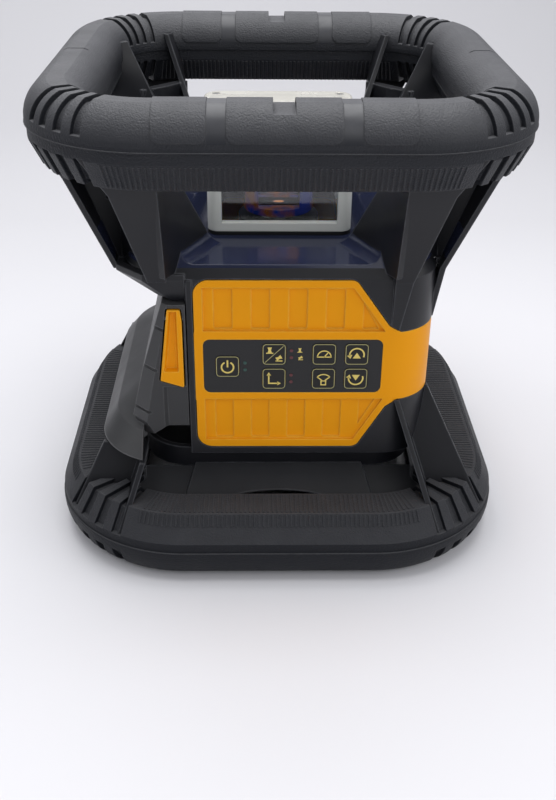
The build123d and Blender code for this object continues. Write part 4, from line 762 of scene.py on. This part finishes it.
rib_pieces = ring_ribs("top_ring", "top_bumper", -1, top_corner, top_outer_share)
rib_pieces += ring_ribs("base_ring", "base_bumper", 1, base_corner, base_outer_share)
for piece in rib_pieces:
    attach(piece, "frame")
print("ribs:", {piece.name: len(piece.data.polygons) for piece in rib_pieces})

# %% [markdown]
# The rubber of the top ring was moulded in two halves, and a thin line of flash stands out where they met.
# A bump in the material would not show at the outline. So it is one bead all the way round: a square
# whose corners are rounded, swept with a small circle.

# %% Parting line
flash_radius = 0.3 * mm
flash_facets = 8
flash_corner_points = 20


def build_bead_tree():
    tree, given = new_tree("bead_round_a_ring", ("Half", "Corner", "Level", "Thickness"))
    nodes, links = tree.nodes, tree.links
    square = nodes.new("GeometryNodeCurvePrimitiveQuadrilateral")
    width = math_node(tree, "MULTIPLY", given["Half"], 2)
    links.new(width, square.inputs["Width"])
    links.new(width, square.inputs["Height"])
    rounded = nodes.new("GeometryNodeFilletCurve")
    rounded.mode = "POLY"
    rounded.inputs["Count"].default_value = flash_corner_points
    links.new(square.outputs["Curve"], rounded.inputs["Curve"])
    links.new(given["Corner"], rounded.inputs["Radius"])
    raised = nodes.new("GeometryNodeTransform")
    links.new(rounded.outputs["Curve"], raised.inputs["Geometry"])
    links.new(vector_of(tree, Z=given["Level"]), raised.inputs["Translation"])
    profile = nodes.new("GeometryNodeCurvePrimitiveCircle")
    profile.inputs["Resolution"].default_value = flash_facets
    links.new(given["Thickness"], profile.inputs["Radius"])
    swept = nodes.new("GeometryNodeCurveToMesh")
    links.new(raised.outputs["Geometry"], swept.inputs["Curve"])
    links.new(profile.outputs["Curve"], swept.inputs["Profile Curve"])
    end_tree(tree, swept.outputs["Mesh"], given["Material"])
    return tree


top_low, top_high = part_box("top_bumper")
bead = grow("top_ring_parting_line", build_bead_tree(), {
    "Half": top_high.x, "Corner": top_corner + top_high.x - ring_centre,
    "Level": (top_low.z + top_high.z) / 2, "Thickness": flash_radius,
    "Material": materials["bumper_rubber"]})
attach(bead, "frame")
print("parting line:", len(bead.data.polygons), "faces")

# %% [markdown]
# Where a pillar's plate runs down past the rounded corner of the deck, the mould leaves a small root
# between the two. There are eight, one behind each plate. A wedge has only six corners, so it is written
# out corner by corner, then mirrored and turned.

# %% Roots of the pillar plates
root_low = 153.6 * mm
root_high = 158.4 * mm
root_inside = 79.2 * mm
root_outside = 81.7 * mm
root_along = (55.4 * mm, 58.8 * mm)


def add_roots(name):
    start, end = root_along
    plan = [(root_inside, start), (root_outside, start), (root_outside, end), (root_inside, end)]
    work = bmesh.new()
    for turn in range(4):
        spin = Matrix.Rotation(turn * pi / 2, 3, "Z")
        for flip in (1, -1):
            top = [work.verts.new(spin @ Vector((x, flip * y, root_high))) for x, y in plan]
            foot = [work.verts.new(spin @ Vector((root_inside, flip * y, root_low))) for y in root_along]
            work.faces.new(top)
            work.faces.new((top[0], top[1], foot[0]))
            work.faces.new((top[3], foot[1], top[2]))
            work.faces.new((top[1], top[2], foot[1], foot[0]))
            work.faces.new((top[0], foot[0], foot[1], top[3]))
    bmesh.ops.recalc_face_normals(work, faces=work.faces)
    mesh = bpy.data.meshes.new(name)
    work.to_mesh(mesh)
    work.free()
    mesh.materials.append(materials["cage_black"])
    piece = bpy.data.objects.new(name, mesh)
    bpy.context.scene.collection.objects.link(piece)
    return piece


roots = add_roots("pillar_roots")
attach(roots, "frame")
print("pillar roots:", len(roots.data.polygons), "faces")

# %% [markdown]
# The symbols on the keys are printed. They could be a picture on the key, but that needs a map and blurs
# from close by. So each is drawn in millimetres about the middle of its key, as strokes and small filled
# shapes, in a bright ink inside a thin frame of a duller one. They become a layer of ink on the key's face
# that moves with the key.

# %% Strokes and shapes
ink_thickness = 0.04 * mm
ink_weld = 0.001 * mm
stroke_width = 0.62
mitre_limit = 0.5               # keeps a sharp corner from running far out
ink_look = dict(rough=(0.42, 0.52), grain=3000, depth=0.0, edge=0.1 * mm, Specular_IOR_Level=0.3)
bright_ink = finish("bright_ink", (0.74, 0.58, 0.15), (0.80, 0.64, 0.19), **ink_look)
dull_ink = finish("dull_ink", (0.38, 0.35, 0.16), (0.44, 0.41, 0.19), **ink_look)


def arc(centre, radius, start, end, steps=18):
    """Points along an arc, with angles in degrees from the right, turning left."""
    angles = [radians(start + (end - start) * step / steps) for step in range(steps + 1)]
    return [Vector((centre[0] + radius * cos(a), centre[1] + radius * sin(a))) for a in angles]


def rounded_outline(half, corner):
    """Points round a square with rounded corners."""
    points = []
    for quarter, (x, y) in enumerate(((1, 1), (-1, 1), (-1, -1), (1, -1))):
        middle = (x * (half - corner), y * (half - corner))
        points += arc(middle, corner, 90 * quarter, 90 * quarter + 90, 6)
    return points


def ribbon(points, closed=False, width=stroke_width):
    """Quads along a line, mitred at its corners."""
    points = [Vector(point) for point in points]
    count = len(points)
    sides = []
    for index, point in enumerate(points):
        before = points[index - 1] if index or closed else None
        after = points[(index + 1) % count] if index < count - 1 or closed else None
        leaving = (after - point).normalized() if after else (point - before).normalized()
        coming = (point - before).normalized() if before else leaving
        along = (coming + leaving).normalized()
        across = Vector((-along.y, along.x))
        reach = width / 2 / max(mitre_limit, across.dot(Vector((-coming.y, coming.x))))
        sides.append((point + across * reach, point - across * reach))
    following = sides[1:] + sides[:1] if closed else sides[1:]
    return [[left, right, next_right, next_left]
            for (left, right), (next_left, next_right) in zip(sides, following)]


def print_ink(name, middle, layers, body):
    """A thin layer of ink about a place on the front, from shapes listed by ink."""
    mesh = bpy.data.meshes.new(name)
    work = bmesh.new()
    for index, (ink, shapes) in enumerate(layers):
        mesh.materials.append(ink)
        for shape in shapes:
            places = [(middle.x + x * mm, middle.y, middle.z + y * mm) for x, y in shape]
            work.faces.new([work.verts.new(place) for place in places]).material_index = index
    bmesh.ops.remove_doubles(work, verts=work.verts, dist=ink_weld)
    for face in work.faces:
        face.normal_update()
        if face.normal.y > 0:
            face.normal_flip()
    bmesh.ops.solidify(work, geom=work.faces[:], thickness=-ink_thickness)
    work.to_mesh(mesh)
    work.free()
    piece = bpy.data.objects.new(name, mesh)
    bpy.context.scene.collection.objects.link(piece)
    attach(piece, body)
    return piece


def front_middle(node):
    """Middle of a piece's front face."""
    low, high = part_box(node)
    return Vector(((low.x + high.x) / 2, low.y, (low.z + high.z) / 2))


print("inks:", bright_ink.name, dull_ink.name)

# %% [markdown]
# Seven symbols say what the keys do: power, standing or lying, the two slopes, the speed of the head, the
# width of the scan, and turning either way. A level on its foot comes back several times, so it is a
# picture that can be placed, sized and laid on its side.

# %% Symbol drawings
picture_top = [(-1.0, 1.6), (1.0, 1.6), (0.55, 0.2), (-0.55, 0.2)]
picture_base = [(-0.55, 0.2), (0.55, 0.2), (0.95, -1.0), (-0.95, -1.0)]
standing_foot = [(-1.6, -1.05), (1.6, -1.05), (1.6, -1.55), (-1.6, -1.55)]
lying_foot = [(-1.2, -1.1), (1.9, -1.1), (1.9, -1.6), (-1.2, -1.6)]
lying_turn = radians(-60)
power_stroke = 0.85
turn_stroke = 0.80
axis_stroke = 0.75


def triangle(tip, back, half):
    """Filled arrowhead from its tip to the middle of its back."""
    tip, back = Vector(tip), Vector(back)
    along = (tip - back).normalized()
    across = Vector((-along.y, along.x)) * half
    return [tip, back + across, back - across]


def level_picture(x, y, lying=False, size=1.0):
    """A waisted level on its foot, or one that lies on its side with a foot beside it."""
    spin = Matrix.Rotation(lying_turn if lying else 0, 2)
    shapes = [[spin @ Vector(point) for point in shape] for shape in (picture_top, picture_base)]
    shapes.append([Vector(point) for point in (lying_foot if lying else standing_foot)])
    return [[point * size + Vector((x, y)) for point in shape] for shape in shapes]


def power_symbol():
    """A ring that is open at the top, with a stroke in the opening."""
    middle = (0, -0.4)
    ring = arc(middle, 3.1, 62, -242, 28)
    return ribbon(ring, width=power_stroke) + ribbon([middle, (0, 3.7)], width=power_stroke)


def plane_symbol():
    """A standing level and a lying one."""
    return level_picture(-2.3, 2.2, size=1.15) + level_picture(2.1, -2.2, lying=True, size=1.15)


def slope_symbol():
    """Two axes with an arrowhead each."""
    axes = ribbon([(-2.7, 2.4), (-2.7, -2.7), (2.2, -2.7)], width=axis_stroke)
    return axes + [triangle((-2.7, 3.8), (-2.7, 1.9), 1.15), triangle((3.6, -2.7), (1.7, -2.7), 1.15)]


def speed_symbol():
    """A gauge: half a circle, its needle and its base line."""
    hub = (0, -1.5)
    return ribbon(arc(hub, 3.5, 180, 0, 20)) + ribbon([hub, (1.9, 0.9)]) + ribbon([(-3.8, -1.5), (3.8, -1.5)])


def scan_symbol():
    """A beam that fans out of a small housing."""
    sweep = ribbon(arc((0, -1.8), 4.3, 140, 40, 14))
    sides = ribbon([(-0.8, -0.9), (-3.3, 1.0)]) + ribbon([(0.8, -0.9), (3.3, 1.0)])
    housing = ribbon([(-1.2, -1.3), (1.2, -1.3), (1.2, -3.6), (-1.2, -3.6)], closed=True)
    return sweep + sides + housing


def turn_symbol(way):
    """Most of a circle with an arrowhead on the left, round a triangle that points up or down."""
    ring = arc((0, -0.3), 3.7, -20, 190, 24)
    shapes = ribbon(ring, width=turn_stroke)
    shapes.append(triangle(ring[-1] + Vector((0.4, -1.6)), ring[-1] + Vector((-0.05, 0.5)), 1.4))
    shapes.append(triangle((0, 1.0), (0, -2.3), 2.1))
    return [[Vector((x, way * y)) for x, y in shape] for shape in shapes]


symbols = {
    "power_key": power_symbol(),
    "plane_key": plane_symbol(),
    "slope_key": slope_symbol(),
    "speed_key": speed_symbol(),
    "scan_key": scan_symbol(),
    "turn_up_key": turn_symbol(1),
    "turn_down_key": turn_symbol(-1),
}
print("symbols:", ", ".join(symbols))

# %% [markdown]
# Each symbol is now printed on its own key, inside its frame. The key with two pictures has a line across
# it as well. Two small pictures beside the upper lights are printed on the film itself, which doesn't move.

# %% Print the keypad
frame_half = 5.65
frame_corner = 1.7
frame_stroke = 0.38
divider_end = 4.7
small_size = 0.8
small_standing = (13.1, 2.1)    # right of and above the middle of the plane key
small_lying = (13.3, -2.2)

frame_line = ribbon(rounded_outline(frame_half, frame_corner), closed=True, width=frame_stroke)
divider = ribbon([(-divider_end, -divider_end), (divider_end, divider_end)], width=frame_stroke)
for key, shapes in symbols.items():
    lines = frame_line + divider if key == "plane_key" else frame_line
    layers = [(bright_ink, shapes), (dull_ink, lines)]
    print_ink(key + "_symbol", front_middle(key), layers, key + "_body")
film = front_middle("keypad_overlay")
plane_place = (front_middle("plane_key") - film) / mm
small_pictures = []
for (right, up), lying in ((small_standing, False), (small_lying, True)):
    small_pictures += level_picture(plane_place.x + right, plane_place.z + up, lying, small_size)
print_ink("light_pictures", film, [(bright_ink, small_pictures)], "frame")
print("printed:", len(symbols), "keys and the film")

# %% [markdown]
# The view layer is brought up to date, with all the new pieces in it.

# %% Update the view layer
bpy.context.view_layer.update()
